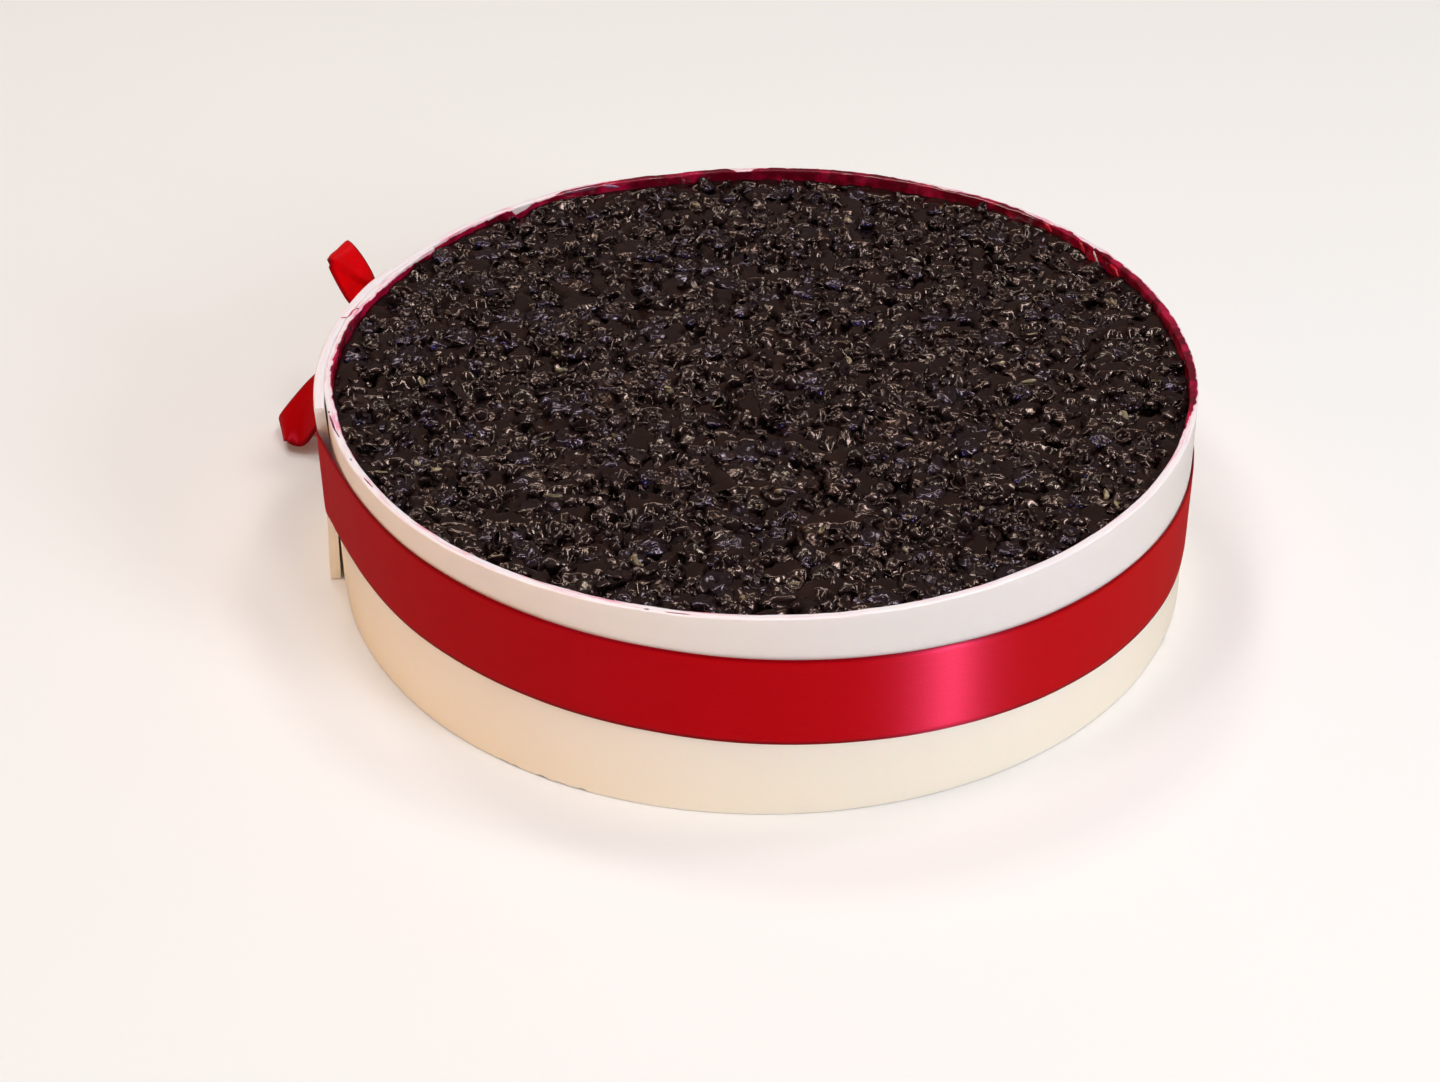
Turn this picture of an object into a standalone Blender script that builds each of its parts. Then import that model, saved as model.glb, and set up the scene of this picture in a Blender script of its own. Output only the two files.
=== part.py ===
"""Whole blueberry mousse cake in a white chocolate collar, tied with a satin ribbon.

Metres, +Z up. The origin is on the cake's axis at its base, and -Y is its front.
The collar is one strip that goes once round the cake and laps over itself at the left,
where its outer end stands off. The ribbon runs round it and is tied in a bow behind the lap.
"""

import math
import random

import bmesh
import bpy
from mathutils import Matrix, Vector
from mathutils.geometry import delaunay_2d_cdt

MM = 0.001

# Collar: a strip of white chocolate wound from START to END, in degrees from +X about +Z
COLLAR_HEIGHT = 59.2 * MM
COLLAR_THICKNESS = 2.2 * MM
COLLAR_EDGE = 0.4 * MM
COLLAR_RIM_WAVE = 0.2 * MM
WRAP_START = 146
WRAP_END = 551
WRAP_STEP = 3
# The strip's outer face along its turn: (degrees, radius in mm). It lies on its own inner end
# from 506 degrees, and the last stretch stands off.
COLLAR_RADII = (
    (146, 114.6),
    (156, 116.1),
    (170, 116.9),
    (182, 116.9),
    (194, 115.8),
    (212, 115.1),
    (330, 115.0),
    (360, 114.8),
    (400, 116.0),
    (430, 114.6),
    (462, 114.5),
    (484, 117.3),
    (508, 117.4),
    (520, 119.3),
    (542, 119.6),
    (551, 119.5),
)
# The outer end is cut aslant: its foot stops short of its top
END_SLANT = 2.9
END_SLANT_RUN = 15

# Clear space between solids that touch
GAP = 0.3 * MM

CAKE_HEIGHT = 49.0 * MM

# Crushed blueberries in dark jelly: crowns this far apart, each point shifted by up to BERRY_SHIFT
BERRY_PITCH = 5.7 * MM
BERRY_SHIFT = 0.75 * MM
CROWN_HEIGHTS = (55.8 * MM, 57.6 * MM)
DIP_HEIGHTS = (53.8 * MM, 55.2 * MM)
EDGE_HEIGHTS = (55.2 * MM, 56.0 * MM)
FLAT_SHARE = 0.2

# Satin ribbon: its band is higher on the left, where the bow is
RIBBON_WIDTH = 25.3 * MM
RIBBON_THICKNESS = 0.5 * MM
RIBBON_MIDDLE = 33.2 * MM
RIBBON_RISE_LEFT = 5.55 * MM
RIBBON_RISE_FRONT = 1.95 * MM

# The bow's own frame stands on the band's outer face at this angle. Along U its x goes round the
# cake towards the lap, N points out, and z is the height above the cake's base.
BOW_ANGLE = 156
KNOT_SPREAD = 6
KNOT_SIZE = (12.0 * MM, 7.5 * MM, 19.0 * MM)
LOOP_WIDTH_STEPS = 4
LOOP_STEPS_PER_POINT = 3
# Ribbon strips of the bow. Each station is one edge of the ribbon and then the other, both as
# (U, N, z) in mm: the edge nearer the lap first.
LOOP_UPPER = (
    ((4.2, 2.6, 47.5), (-4.0, 2.6, 47.5)),
    ((6.0, 5.4, 51.0), (-4.8, 3.6, 52.6)),
    ((6.4, 8.8, 56.6), (-5.8, 6.0, 58.2)),
    ((5.6, 11.6, 61.4), (-7.4, 10.0, 62.0)),
    ((3.2, 13.4, 61.8), (-9.2, 13.8, 61.6)),
    ((0.8, 14.0, 58.6), (-10.8, 14.8, 57.2)),
    ((0.8, 11.2, 53.2), (-8.8, 11.4, 52.2)),
    ((2.4, 7.6, 49.6), (-5.2, 7.6, 49.4)),
    ((3.4, 5.8, 47.5), (-4.0, 5.8, 47.5)),
)
LOOP_LOWER = (
    ((4.0, 5.6, 27.7), (-4.0, 5.6, 27.7)),
    ((7.4, 11.2, 20.6), (-4.8, 12.0, 26.8)),
    ((10.8, 17.2, 10.4), (-4.4, 20.0, 23.6)),
    ((13.2, 22.6, 3.2), (-2.4, 27.6, 17.0)),
    ((14.0, 27.6, 3.8), (5.8, 34.1, 7.4)),
    ((9.8, 29.6, 1.5), (1.4, 36.2, 2.7)),
    ((3.4, 26.4, 1.2), (-8.0, 31.0, 1.8)),
    ((1.6, 18.4, 5.2), (-9.6, 22.0, 8.8)),
    ((3.4, 9.2, 16.6), (-7.2, 10.6, 19.4)),
    ((4.0, 2.6, 27.7), (-4.0, 2.6, 27.7)),
)
TAIL_FRONT = (
    ((6.6, 2.2, 41.4), (6.6, 2.2, 33.2)),
    ((12.0, 2.4, 44.4), (10.0, 2.8, 27.8)),
    ((19.0, 2.2, 45.2), (15.0, 3.6, 21.8)),
    ((27.0, 1.6, 43.8), (20.4, 3.2, 18.8)),
)
TAIL_BACK = (
    ((-6.6, 2.2, 33.2), (-6.6, 2.2, 41.4)),
    ((-10.0, 2.8, 27.4), (-12.4, 2.2, 44.2)),
    ((-15.6, 3.6, 20.8), (-20.4, 1.8, 44.4)),
    ((-22.0, 2.8, 16.4), (-29.6, 0.6, 41.6)),
)


def blend_points(points, place):
    """Point at place (0 to len-1) on a smooth curve through the points (Catmull-Rom)."""
    last = len(points) - 1
    index = min(int(place), last - 1)
    t = place - index
    before = points[max(index - 1, 0)]
    start = points[index]
    end = points[index + 1]
    after = points[min(index + 2, last)]
    out = []
    for a, b, c, d in zip(before, start, end, after):
        out.append(b + 0.5 * t * (c - a + t * (2 * a - 5 * b + 4 * c - d + t * (3 * (b - c) + d - a))))
    return out


def collar_outer(turn):
    """Radius of the strip's outer face at a turn in degrees, eased between the named radii."""
    for (low, r_low), (high, r_high) in zip(COLLAR_RADII, COLLAR_RADII[1:]):
        if turn <= high:
            t = (turn - low) / (high - low)
            return (r_low + (r_high - r_low) * t * t * (3 - 2 * t)) * MM
    return COLLAR_RADII[-1][1] * MM


def polar(radius, degrees, z):
    angle = math.radians(degrees)
    return Vector((radius * math.cos(angle), radius * math.sin(angle), z))


def turns_at(degrees):
    """The one or two turns of the strip that pass an angle on the WRAP_STEP grid."""
    first = WRAP_START + (degrees - WRAP_START) % 360
    return [turn for turn in (first, first + 360) if turn <= WRAP_END]


def inner_wall(degrees):
    """Radius of the collar's inner wall, kept clear of the step where the strip begins."""
    near = []
    for offset in (-WRAP_STEP, 0, WRAP_STEP):
        near += [collar_outer(turn) for turn in turns_at(degrees + offset)]
    return min(near) - COLLAR_THICKNESS


def taut_outline():
    """Radii, on the WRAP_STEP grid, of a band pulled tight round the collar: its convex hull."""
    grid = range(WRAP_START, WRAP_START + 360, WRAP_STEP)
    spots = [polar(max(collar_outer(turn) for turn in turns_at(angle)), angle, 0) for angle in grid]
    points = sorted((spot.x, spot.y) for spot in spots)

    def half(ordered):
        chain = []
        for x, y in ordered:
            while len(chain) > 1:
                (ax, ay), (bx, by) = chain[-2:]
                if (bx - ax) * (y - ay) - (by - ay) * (x - ax) > 0:
                    break
                chain.pop()
            chain.append((x, y))
        return chain[:-1]

    hull = half(points) + half(reversed(points))
    radii = []
    for angle in grid:
        ray = polar(1, angle, 0)
        for (ax, ay), (bx, by) in zip(hull, hull[1:] + hull[:1]):
            edge_x = bx - ax
            edge_y = by - ay
            across = ray.x * edge_y - ray.y * edge_x
            if across <= 0:
                continue
            along = (ax * edge_y - ay * edge_x) / across
            share = (ax * ray.y - ay * ray.x) / across
            if 0 <= share <= 1:
                radii.append(along)
                break
    return list(grid), radii


def make_material(name, colour, roughness, metallic=0.0):
    material = bpy.data.materials.new(name)
    material.use_nodes = True
    shader = material.node_tree.nodes["Principled BSDF"]
    shader.inputs["Base Color"].default_value = (*colour, 1)
    shader.inputs["Roughness"].default_value = roughness
    shader.inputs["Metallic"].default_value = metallic
    material.diffuse_color = (*colour, 1)
    return material


def add_object(name, bm, material, smooth_below=40):
    mesh = bpy.data.meshes.new(name)
    bmesh.ops.recalc_face_normals(bm, faces=bm.faces)
    bm.to_mesh(mesh)
    bm.free()
    mesh.materials.append(material)
    mesh.shade_smooth()
    mesh.set_sharp_from_angle(angle=math.radians(smooth_below))
    obj = bpy.data.objects.new(name, mesh)
    bpy.context.scene.collection.objects.link(obj)
    return obj


def loft(sections, closed):
    """Skin over equal rings of points, joined end to end or capped."""
    bm = bmesh.new()
    rings = [[bm.verts.new(point) for point in section] for section in sections]
    count = len(rings[0])
    pairs = list(zip(rings, rings[1:]))
    if closed:
        pairs.append((rings[-1], rings[0]))
    for ring, following in pairs:
        for i in range(count):
            j = (i + 1) % count
            bm.faces.new((ring[i], ring[j], following[j], following[i]))
    if not closed:
        bm.faces.new(rings[0])
        bm.faces.new(rings[-1])
    return bm


def prism(radius_at, bottom, top):
    """Upright solid whose outline is a radius for each angle on the WRAP_STEP grid."""
    bm = bmesh.new()
    grid = range(WRAP_START, WRAP_START + 360, WRAP_STEP)
    foot = bm.faces.new([bm.verts.new(polar(radius_at(angle), angle, bottom)) for angle in grid])
    raised = bmesh.ops.extrude_face_region(bm, geom=[foot])
    moved = [item for item in raised["geom"] if isinstance(item, bmesh.types.BMVert)]
    bmesh.ops.translate(bm, verts=moved, vec=(0, 0, top - bottom))
    return bm


def build_collar(material):
    sections = []
    for turn in range(WRAP_START, WRAP_END + 1, WRAP_STEP):
        outer = collar_outer(turn)
        inner = outer - COLLAR_THICKNESS
        top = COLLAR_HEIGHT - COLLAR_RIM_WAVE * (1 + math.sin(math.radians(turn * 4)))
        near_end = max(0, (turn - WRAP_END + END_SLANT_RUN) / END_SLANT_RUN)
        foot = turn - END_SLANT * near_end * near_end
        sections.append(
            [
                polar(inner, foot, 0),
                polar(outer, foot, 0),
                polar(outer, turn, top - COLLAR_EDGE),
                polar(outer - COLLAR_EDGE, turn, top),
                polar(inner + COLLAR_EDGE, turn, top),
                polar(inner, turn, top - COLLAR_EDGE),
            ]
        )
    return add_object("collar", loft(sections, closed=False), material)


def build_cake(material):
    bm = prism(lambda angle: inner_wall(angle) - GAP, 0, CAKE_HEIGHT)
    return add_object("cake_body", bm, material)


def berry_points(rng):
    """Uneven honeycomb over the top: every third point is a berry's crown, the rest are dips."""
    step = BERRY_PITCH / math.sqrt(3)
    reach = int(2 * max(radius for _, radius in COLLAR_RADII) * MM / step)
    points = []
    for row in range(-reach, reach + 1):
        for column in range(-reach, reach + 1):
            x = step * (column + row / 2) + rng.uniform(-1, 1) * BERRY_SHIFT
            y = step * row * math.sqrt(3) / 2 + rng.uniform(-1, 1) * BERRY_SHIFT
            crown = (column - row) % 3 == 0
            height = rng.uniform(*(CROWN_HEIGHTS if crown else DIP_HEIGHTS))
            if crown and rng.random() < FLAT_SHARE:
                height = rng.uniform(*EDGE_HEIGHTS)
            grid_steps = round((math.degrees(math.atan2(y, x)) - WRAP_START) / WRAP_STEP)
            if math.hypot(x, y) < inner_wall(WRAP_START + grid_steps * WRAP_STEP) - step:
                points.append(Vector((x, y, height)))
    return points


def build_topping(material):
    """Layer of crushed blueberries in jelly: each bump is one berry, with flat jelly here and there."""
    rng = random.Random(5)
    grid = range(WRAP_START, WRAP_START + 360, WRAP_STEP)
    edge = [polar(inner_wall(angle) - GAP, angle, rng.uniform(*EDGE_HEIGHTS)) for angle in grid]
    points = edge + berry_points(rng)
    plan = [point.to_2d() for point in points]
    flat, _, faces, *_ = delaunay_2d_cdt(plan, [], [list(range(len(edge)))], 1, 1e-7)
    bm = bmesh.new()
    top = [bm.verts.new((spot.x, spot.y, point.z)) for spot, point in zip(flat, points)]
    for face in faces:
        bm.faces.new([top[i] for i in face])
    foot = [bm.verts.new((point.x, point.y, CAKE_HEIGHT + GAP)) for point in edge]
    bm.faces.new(foot)
    count = len(foot)
    for i in range(count):
        j = (i + 1) % count
        bm.faces.new((foot[i], foot[j], top[j], top[i]))
    return add_object("topping", bm, material, smooth_below=30)


def ribbon_middle(degrees):
    angle = math.radians(degrees)
    return RIBBON_MIDDLE - RIBBON_RISE_LEFT * math.cos(angle) - RIBBON_RISE_FRONT * math.sin(angle)


def build_band(material):
    sections = []
    for angle, radius in zip(*taut_outline()):
        inner = radius + GAP
        outer = inner + RIBBON_THICKNESS
        low = ribbon_middle(angle) - RIBBON_WIDTH / 2
        high = low + RIBBON_WIDTH
        sections.append(
            [
                polar(inner, angle, low),
                polar(outer, angle, low),
                polar(outer, angle, high),
                polar(inner, angle, high),
            ]
        )
    return add_object("ribbon_band", loft(sections, closed=True), material)


def bow_frame():
    """Matrix from the bow's (U, N, z) to the cake's frame."""
    angle = math.radians(BOW_ANGLE)
    out = Vector((math.cos(angle), math.sin(angle), 0))
    round_cake = Vector((-math.sin(angle), math.cos(angle), 0))
    reach = 0
    for degrees, radius in zip(*taut_outline()):
        if abs(degrees - BOW_ANGLE) <= KNOT_SPREAD:
            outer = polar(radius + GAP + RIBBON_THICKNESS, degrees, 0)
            reach = max(reach, outer.dot(out))
    frame = Matrix((round_cake, out, (0, 0, 1))).transposed().to_4x4()
    frame.translation = out * reach
    return frame


def build_knot(material, frame):
    bm = bmesh.new()
    bmesh.ops.create_cube(bm, size=1)
    width, depth, height = KNOT_SIZE
    bmesh.ops.scale(bm, verts=bm.verts, vec=(width, depth, height))
    upright = [edge for edge in bm.edges if abs(edge.verts[0].co.z - edge.verts[1].co.z) < MM]
    bmesh.ops.bevel(bm, geom=upright, offset=2.4 * MM, segments=3, profile=0.6, affect="EDGES")
    middle = Vector((0, GAP + depth / 2, ribbon_middle(BOW_ANGLE)))
    bmesh.ops.translate(bm, verts=bm.verts, vec=middle)
    bmesh.ops.transform(bm, matrix=frame, verts=bm.verts)
    return add_object("ribbon_knot", bm, material)


def build_strip(name, stations, material, frame):
    """Ribbon strip between two edge curves, given its thickness by Solidify."""
    bm = bmesh.new()
    rows = []
    for step in range((len(stations) - 1) * LOOP_STEPS_PER_POINT + 1):
        place = step / LOOP_STEPS_PER_POINT
        near = Vector(blend_points([station[0] for station in stations], place)) * MM
        far = Vector(blend_points([station[1] for station in stations], place)) * MM
        row = []
        for i in range(LOOP_WIDTH_STEPS + 1):
            row.append(bm.verts.new(frame @ near.lerp(far, i / LOOP_WIDTH_STEPS)))
        rows.append(row)
    for row, following in zip(rows, rows[1:]):
        for i in range(LOOP_WIDTH_STEPS):
            bm.faces.new((row[i], row[i + 1], following[i + 1], following[i]))
    strip = add_object(name, bm, material)
    solid = strip.modifiers.new("ribbon", "SOLIDIFY")
    solid.thickness = RIBBON_THICKNESS
    solid.offset = 0
    return strip


def main():
    for obj in list(bpy.data.objects):
        bpy.data.objects.remove(obj)
    chocolate = make_material("white_chocolate", (0.84, 0.74, 0.58), 0.38)
    sponge = make_material("sponge", (0.72, 0.50, 0.26), 0.85)
    berry_jelly = make_material("berry_jelly", (0.022, 0.012, 0.016), 0.12)
    satin = make_material("red_satin", (0.50, 0.006, 0.014), 0.35)
    build_cake(sponge)
    build_topping(berry_jelly)
    build_collar(chocolate)
    build_band(satin)
    frame = bow_frame()
    build_knot(satin, frame)
    build_strip("bow_loop_upper", LOOP_UPPER, satin, frame)
    build_strip("bow_loop_lower", LOOP_LOWER, satin, frame)
    build_strip("bow_tail_front", TAIL_FRONT, satin, frame)
    build_strip("bow_tail_back", TAIL_BACK, satin, frame)


main()
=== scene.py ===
"""Looks of a whole blueberry mousse cake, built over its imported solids.

Metres, +Z up. The cake's axis is the Z axis, its base is at 0 and its front is towards -Y.
Angles go round the cake in degrees from +X. A turn is an angle along the collar's strip, which
laps over its own beginning at the left, so it runs past 360.
"""

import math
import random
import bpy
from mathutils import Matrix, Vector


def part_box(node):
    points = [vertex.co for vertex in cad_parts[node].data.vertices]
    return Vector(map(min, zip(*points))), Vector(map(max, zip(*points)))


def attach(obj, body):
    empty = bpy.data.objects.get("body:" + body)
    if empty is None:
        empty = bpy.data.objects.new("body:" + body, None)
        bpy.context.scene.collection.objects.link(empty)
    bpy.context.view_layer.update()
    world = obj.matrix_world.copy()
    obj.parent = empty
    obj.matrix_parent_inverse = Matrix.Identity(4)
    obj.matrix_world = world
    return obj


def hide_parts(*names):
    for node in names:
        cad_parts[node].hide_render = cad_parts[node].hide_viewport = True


bl_info = {
    "name": "Blueberry Mousse Cake",
    "version": (1, 0, 0),
    "blender": (4, 5, 0),
    "location": "View3D > Sidebar > Cake",
    "description": "Builds the finish of a blueberry mousse cake with a chocolate collar and a satin ribbon",
    "category": "Object",
}

import bmesh
import bpy
import numpy as np
from bpy.props import FloatProperty, FloatVectorProperty, IntProperty, PointerProperty
from mathutils.bvhtree import BVHTree
from mathutils import Euler, Matrix, Vector, noise

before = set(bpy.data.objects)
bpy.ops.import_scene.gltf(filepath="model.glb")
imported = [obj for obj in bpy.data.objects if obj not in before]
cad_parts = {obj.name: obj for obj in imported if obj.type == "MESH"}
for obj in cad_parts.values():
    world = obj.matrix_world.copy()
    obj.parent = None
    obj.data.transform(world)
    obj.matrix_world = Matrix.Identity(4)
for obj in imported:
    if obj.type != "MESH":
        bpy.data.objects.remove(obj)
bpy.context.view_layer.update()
MM = 0.001
BODY = "root"
FULL_TURN = range(361)

# The collar's strip: its outer face along its turn, as (degrees, radius in mm)
WRAP_START = 146
WRAP_END = 551
WRAP_STEP = 0.75
LAP_START = 507
COLLAR_RADII = (
    (146, 115.0), (156, 116.3), (170, 117.1), (182, 117.0), (194, 115.8), (212, 115.1), (330, 115.0),
    (360, 114.8), (400, 116.0), (430, 114.6), (462, 114.5), (484, 117.3), (508, 117.4), (520, 119.3),
    (542, 119.6), (551, 119.5),
)
# Its two ends: the first is feathered thin, and the lap lies on it up to where the seam opens. The
# last end slants, and stands off as far as the ribbon doesn't pull it in.
END_SLANT = 2.9
END_SLANT_RUN = 15
FEATHERED_END = 0.9
FEATHERED_UNTIL = 158
SEAM_OPENS = 545
SEAM_OPEN = 551
SEAM_GAP = 0.6
LOOSE_FROM = 522
LOOSE_RUN = 22
BELT_REACH = 15 * MM
FLARE_HEIGHT = 18 * MM
# How far down from the rim the inner wall has close rows, for the juice's edge
FINE_WALL = 8 * MM

# How far the berry juice reaches over the rim from its inner edge, as (turn, mm): the rim is
# about 2.4 mm across, so the back is stained right over and the front only at its inner edge
JUICE_REACH = (
    (146, -0.7), (152, -0.4), (160, 0.1), (166, 0.6), (172, 0.9), (180, 0.9), (188, 0.6), (196, 0.2),
    (205, -0.2), (240, -0.2), (256, 0.2), (262, -0.2), (270, -0.6), (282, -1.1), (330, -1.1), (338, -0.2),
    (343, 0.7), (352, 2.2), (366, 2.2), (385, 2.0), (391, 1.7), (393, 0.9), (397, 0.8), (399.5, 2.0),
    (402, 0.8), (407, 0.9), (410, 1.9), (417, 1.8), (420, 1.1), (427, 1.5), (432, 2.1), (450, 2.0),
    (452.5, 0.2), (454, 0.2), (455.5, 2.1), (470, 2.1), (476, 1.5), (481, 1.2), (483.5, -0.1),
    (486.8, -0.3), (487.4, -1.5), (489.6, -1.9), (490.2, 0.1), (494, -0.2), (500, -0.4), (506, -0.6),
    (509, -70.0), (551, -70.0),
)

# How much higher the topping lies against the wall, as (angle, mm), and how far in from it
EDGE_RISE = (
    (0, 0.3), (22, 0.7), (26, 0.9), (29, -0.4), (34, -0.8), (37, 0.2), (41, 1.0), (52, 0.8), (70, 0.2),
    (112, 0.4), (124, 1.1), (126.5, 0.9), (128, -0.6), (130, -0.6), (132, 1.1), (150, 1.6), (162, 1.2),
    (172, 0.4), (190, 0.5), (215, 0.7), (250, 0.3), (360, 0.3),
)
HEAPED_WIDTH = 8 * MM

# Marks on the collar's rim: width in mm, tone (0 red juice, 1 dark juice, 2 bare chocolate, 3 pale
# violet painted sheen of light on wet juice), and a line of (angle, radius in mm, depth under the rim in mm)
MARK_STEPS = 12
RIM_MARKS = (
    (0.8, 0, ((168.5, 118.6, 0), (168, 117, 0), (167.2, 116.8, 0), (166.2, 116.9, 0), (165.8, 116, 0))),
    (0.7, 1.0, ((165.7, 116.0, 0), (165.4, 115.7, 0))),
    # Tone 3 lines are painted sheen: pale violet where light glances off the wet stained rim
    (1.1, 3.0, ((121.0, 114.5, 0.1), (119.0, 113.9, 0.5), (117.2, 113.9, 0.4), (115.9, 113.9, 0.5))),
    (1.0, 3.0, ((114.8, 113.8, 0.8), (113.6, 113.8, 1.4), (112.4, 113.8, 1.9))),
    (0.55, 1.0, ((192.0, 115.8, 0), (192.4, 115.6, 0))),
    (0.5, 0.8, ((193.0, 115.6, 0), (194.6, 115.3, 0), (196.4, 115.1, 0), (198.6, 114.6, 0))),
    (0.35, 0.8, ((204.0, 114.5, 0), (204.5, 114.3, 0))),
    (0.35, 0.6, ((209.0, 114.3, 0), (211.5, 114.0, 0))),
    (0.4, 0.9, ((256.0, 114.6, 0), (256.6, 114.4, 0))),
    (0.3, 0.6, ((258.5, 114.5, 0), (261.5, 114.3, 0))),
    (0.9, 2.0, ((34.2, 114.3, 0.0), (33.2, 114.1, 2.2), (32.1, 114.0, 4.6))),
    (2.0, 0.0, ((43.9, 114.0, 0.7), (42.4, 114.0, 2.4))),
    (1.8, 0.0, ((36.9, 114.0, 0.7), (35.5, 114.0, 3.4))),
    (2.4, 0.0, ((29.8, 114.0, 1.8), (27.2, 114.0, 3.4))),
)

# Chips knocked out of the collar's foot, as (turn, width in degrees, height in mm)
FOOT_CHIPS = (
    (235.5, 1.6, 0.5), (237.5, 1.0, 0.7), (241.5, 1.1, 0.9), (244.0, 1.8, 0.4), (247.0, 1.2, 0.6),
    (337, 1.3, 1.3),
)
CHIP_HEIGHT = 4 * MM

# The band of ribbon is higher on the left, where the bow is
RIBBON_MIDDLE = 33.2 * MM
RIBBON_RISE_LEFT = 5.55 * MM
RIBBON_RISE_FRONT = 1.95 * MM

# The bow's frame: U goes round the cake towards the lap, N points out, z is the height above the
# base. Each station is one edge of the folded ribbon and then the other, in mm.
BOW_ANGLE = 156
LOOP_UPPER = (
    ((4.2, 2.6, 47.5), (-4.0, 2.6, 47.5)),
    ((6.0, 5.4, 51.0), (-4.8, 3.6, 52.6)),
    ((6.4, 8.8, 56.6), (-5.0, 6.0, 58.0)),
    ((5.6, 11.6, 61.4), (-6.7, 10.6, 62.1)),
    ((3.2, 13.4, 61.8), (-9.2, 14.8, 61.9)),
    ((0.8, 14.0, 58.6), (-10.8, 14.8, 57.2)),
    ((0.8, 11.2, 53.2), (-8.8, 11.4, 52.2)),
    ((2.4, 7.6, 49.6), (-5.2, 7.6, 49.4)),
    ((3.4, 5.8, 47.5), (-4.0, 5.8, 47.5)),
)
LOOP_LOWER = (
    ((4.0, 5.6, 27.7), (-4.0, 5.6, 27.7)),
    ((7.4, 11.2, 20.6), (-4.8, 12.0, 26.8)),
    ((10.8, 17.2, 10.4), (-4.4, 20.0, 23.6)),
    ((13.2, 22.6, 3.2), (-2.4, 27.6, 17.0)),
    ((14.0, 27.6, 3.8), (5.8, 34.1, 7.4)),
    ((9.8, 29.6, 1.5), (1.4, 36.2, 2.7)),
    ((3.4, 26.4, 1.2), (-8.0, 31.0, 1.8)),
    ((1.6, 18.4, 5.2), (-9.6, 22.0, 8.8)),
    ((3.4, 9.2, 16.6), (-7.2, 10.6, 19.4)),
    ((4.0, 2.6, 27.7), (-4.0, 2.6, 27.7)),
)
# Creases in the loops: from (station, share across) to (station, share across), and the step in mm,
# with the distance between stations and the folded ribbon's width
STATION_MM = 5
FOLDED_MM = 12.6
UPPER_CREASES = (
    ((3.3, -0.05), (0.9, 0.85), -2.4),
    ((0.9, 0.15), (2.2, 0.75), 0.35),
)
LOWER_CREASES = (
    ((1.0, 0.2), (3.2, 0.7), -0.6),
    ((5.5, 0.9), (7.5, 0.3), 0.5),
)
TAIL_FRONT = (
    ((6.6, 2.2, 41.4), (6.6, 2.2, 33.2)),
    ((12.0, 2.4, 44.4), (10.0, 2.8, 27.8)),
    ((19.0, 2.2, 45.2), (15.0, 3.6, 21.8)),
    ((27.0, 1.6, 43.8), (20.4, 3.2, 18.8)),
)
TAIL_BACK = (
    ((-6.6, 2.2, 33.2), (-6.6, 2.2, 41.4)),
    ((-10.0, 2.8, 27.4), (-12.4, 2.2, 44.2)),
    ((-15.6, 3.6, 20.8), (-20.4, 1.8, 44.4)),
    ((-22.0, 2.8, 16.4), (-29.6, 0.6, 41.6)),
)
KNOT_SIZE = (12.0 * MM, 7.5 * MM, 19.0 * MM)
KNOT_ROUNDING = 0.62
# The bow's ribbon is drawn thinner than the band, as a share of its thickness
THIN_SATIN = 0.7


def linear(hex_colour):
    """Linear RGB of an sRGB hex colour."""
    channels = [int(hex_colour[i : i + 2], 16) / 255 for i in (1, 3, 5)]
    return [c / 12.92 if c <= 0.04045 else ((c + 0.055) / 1.055) ** 2.4 for c in channels]


def colour_property(name, description, hex_colour):
    limits = {"size": 3, "min": 0, "max": 1}
    return FloatVectorProperty(
        name=name, description=description, subtype="COLOR", default=linear(hex_colour), **limits
    )


def length_property(name, description, metres):
    unit = {"subtype": "DISTANCE", "unit": "LENGTH"}
    return FloatProperty(name=name, description=description, min=0, default=metres, **unit)


def angle_property(name, description, degrees):
    return FloatProperty(name=name, description=description, subtype="ANGLE", default=math.radians(degrees))


class StageSettings(bpy.types.PropertyGroup):
    """Camera, floor and lights"""

    elevation: angle_property("Camera elevation", "Angle of the camera above the horizon", 34.985)
    pan: angle_property("Camera pan", "Turn of the camera away from the cake's axis", -0.944)
    tilt: angle_property("Camera tilt", "Tilt of the camera away from the cake's base", 0.06)
    distance: length_property("Camera distance", "From the camera to the middle of the cake's base", 0.7354)
    lens: FloatProperty(
        name="Lens", description="Focal length on a 36 mm sensor", subtype="DISTANCE_CAMERA", default=65.7
    )
    floor_colour: colour_property("Floor", "Colour of the pale floor", "#F4F3F1")
    sky_colour: colour_property("Sky", "Colour of the studio's even light", "#FFF3EB")
    sky_strength: FloatProperty(
        name="Sky strength", description="Strength of the studio's even light", min=0, default=0.16
    )


class CollarSettings(bpy.types.PropertyGroup):
    """White chocolate collar"""

    height: length_property("Height", "Height of the collar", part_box("collar")[1].z)
    thickness: length_property("Thickness", "Thickness of the chocolate", 2.2 * MM)
    rim_round: length_property("Rim rounding", "Rounding of the rim's edges", 0.45 * MM)
    chocolate: colour_property("Chocolate", "Colour of the white chocolate", "#EAE4E1")
    # The foot colour is painted light: warmer and brighter than the chocolate above, as bounce light from
    # below
    foot_colour_painted_bounce: colour_property("Chocolate at the foot", "Colour near the base", "#FDF3E2")
    juice: colour_property("Juice", "Colour of a thin film of berry juice", "#B5103F")
    juice_deep: colour_property("Deep juice", "Colour of a thick film of berry juice", "#5E0218")


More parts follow.
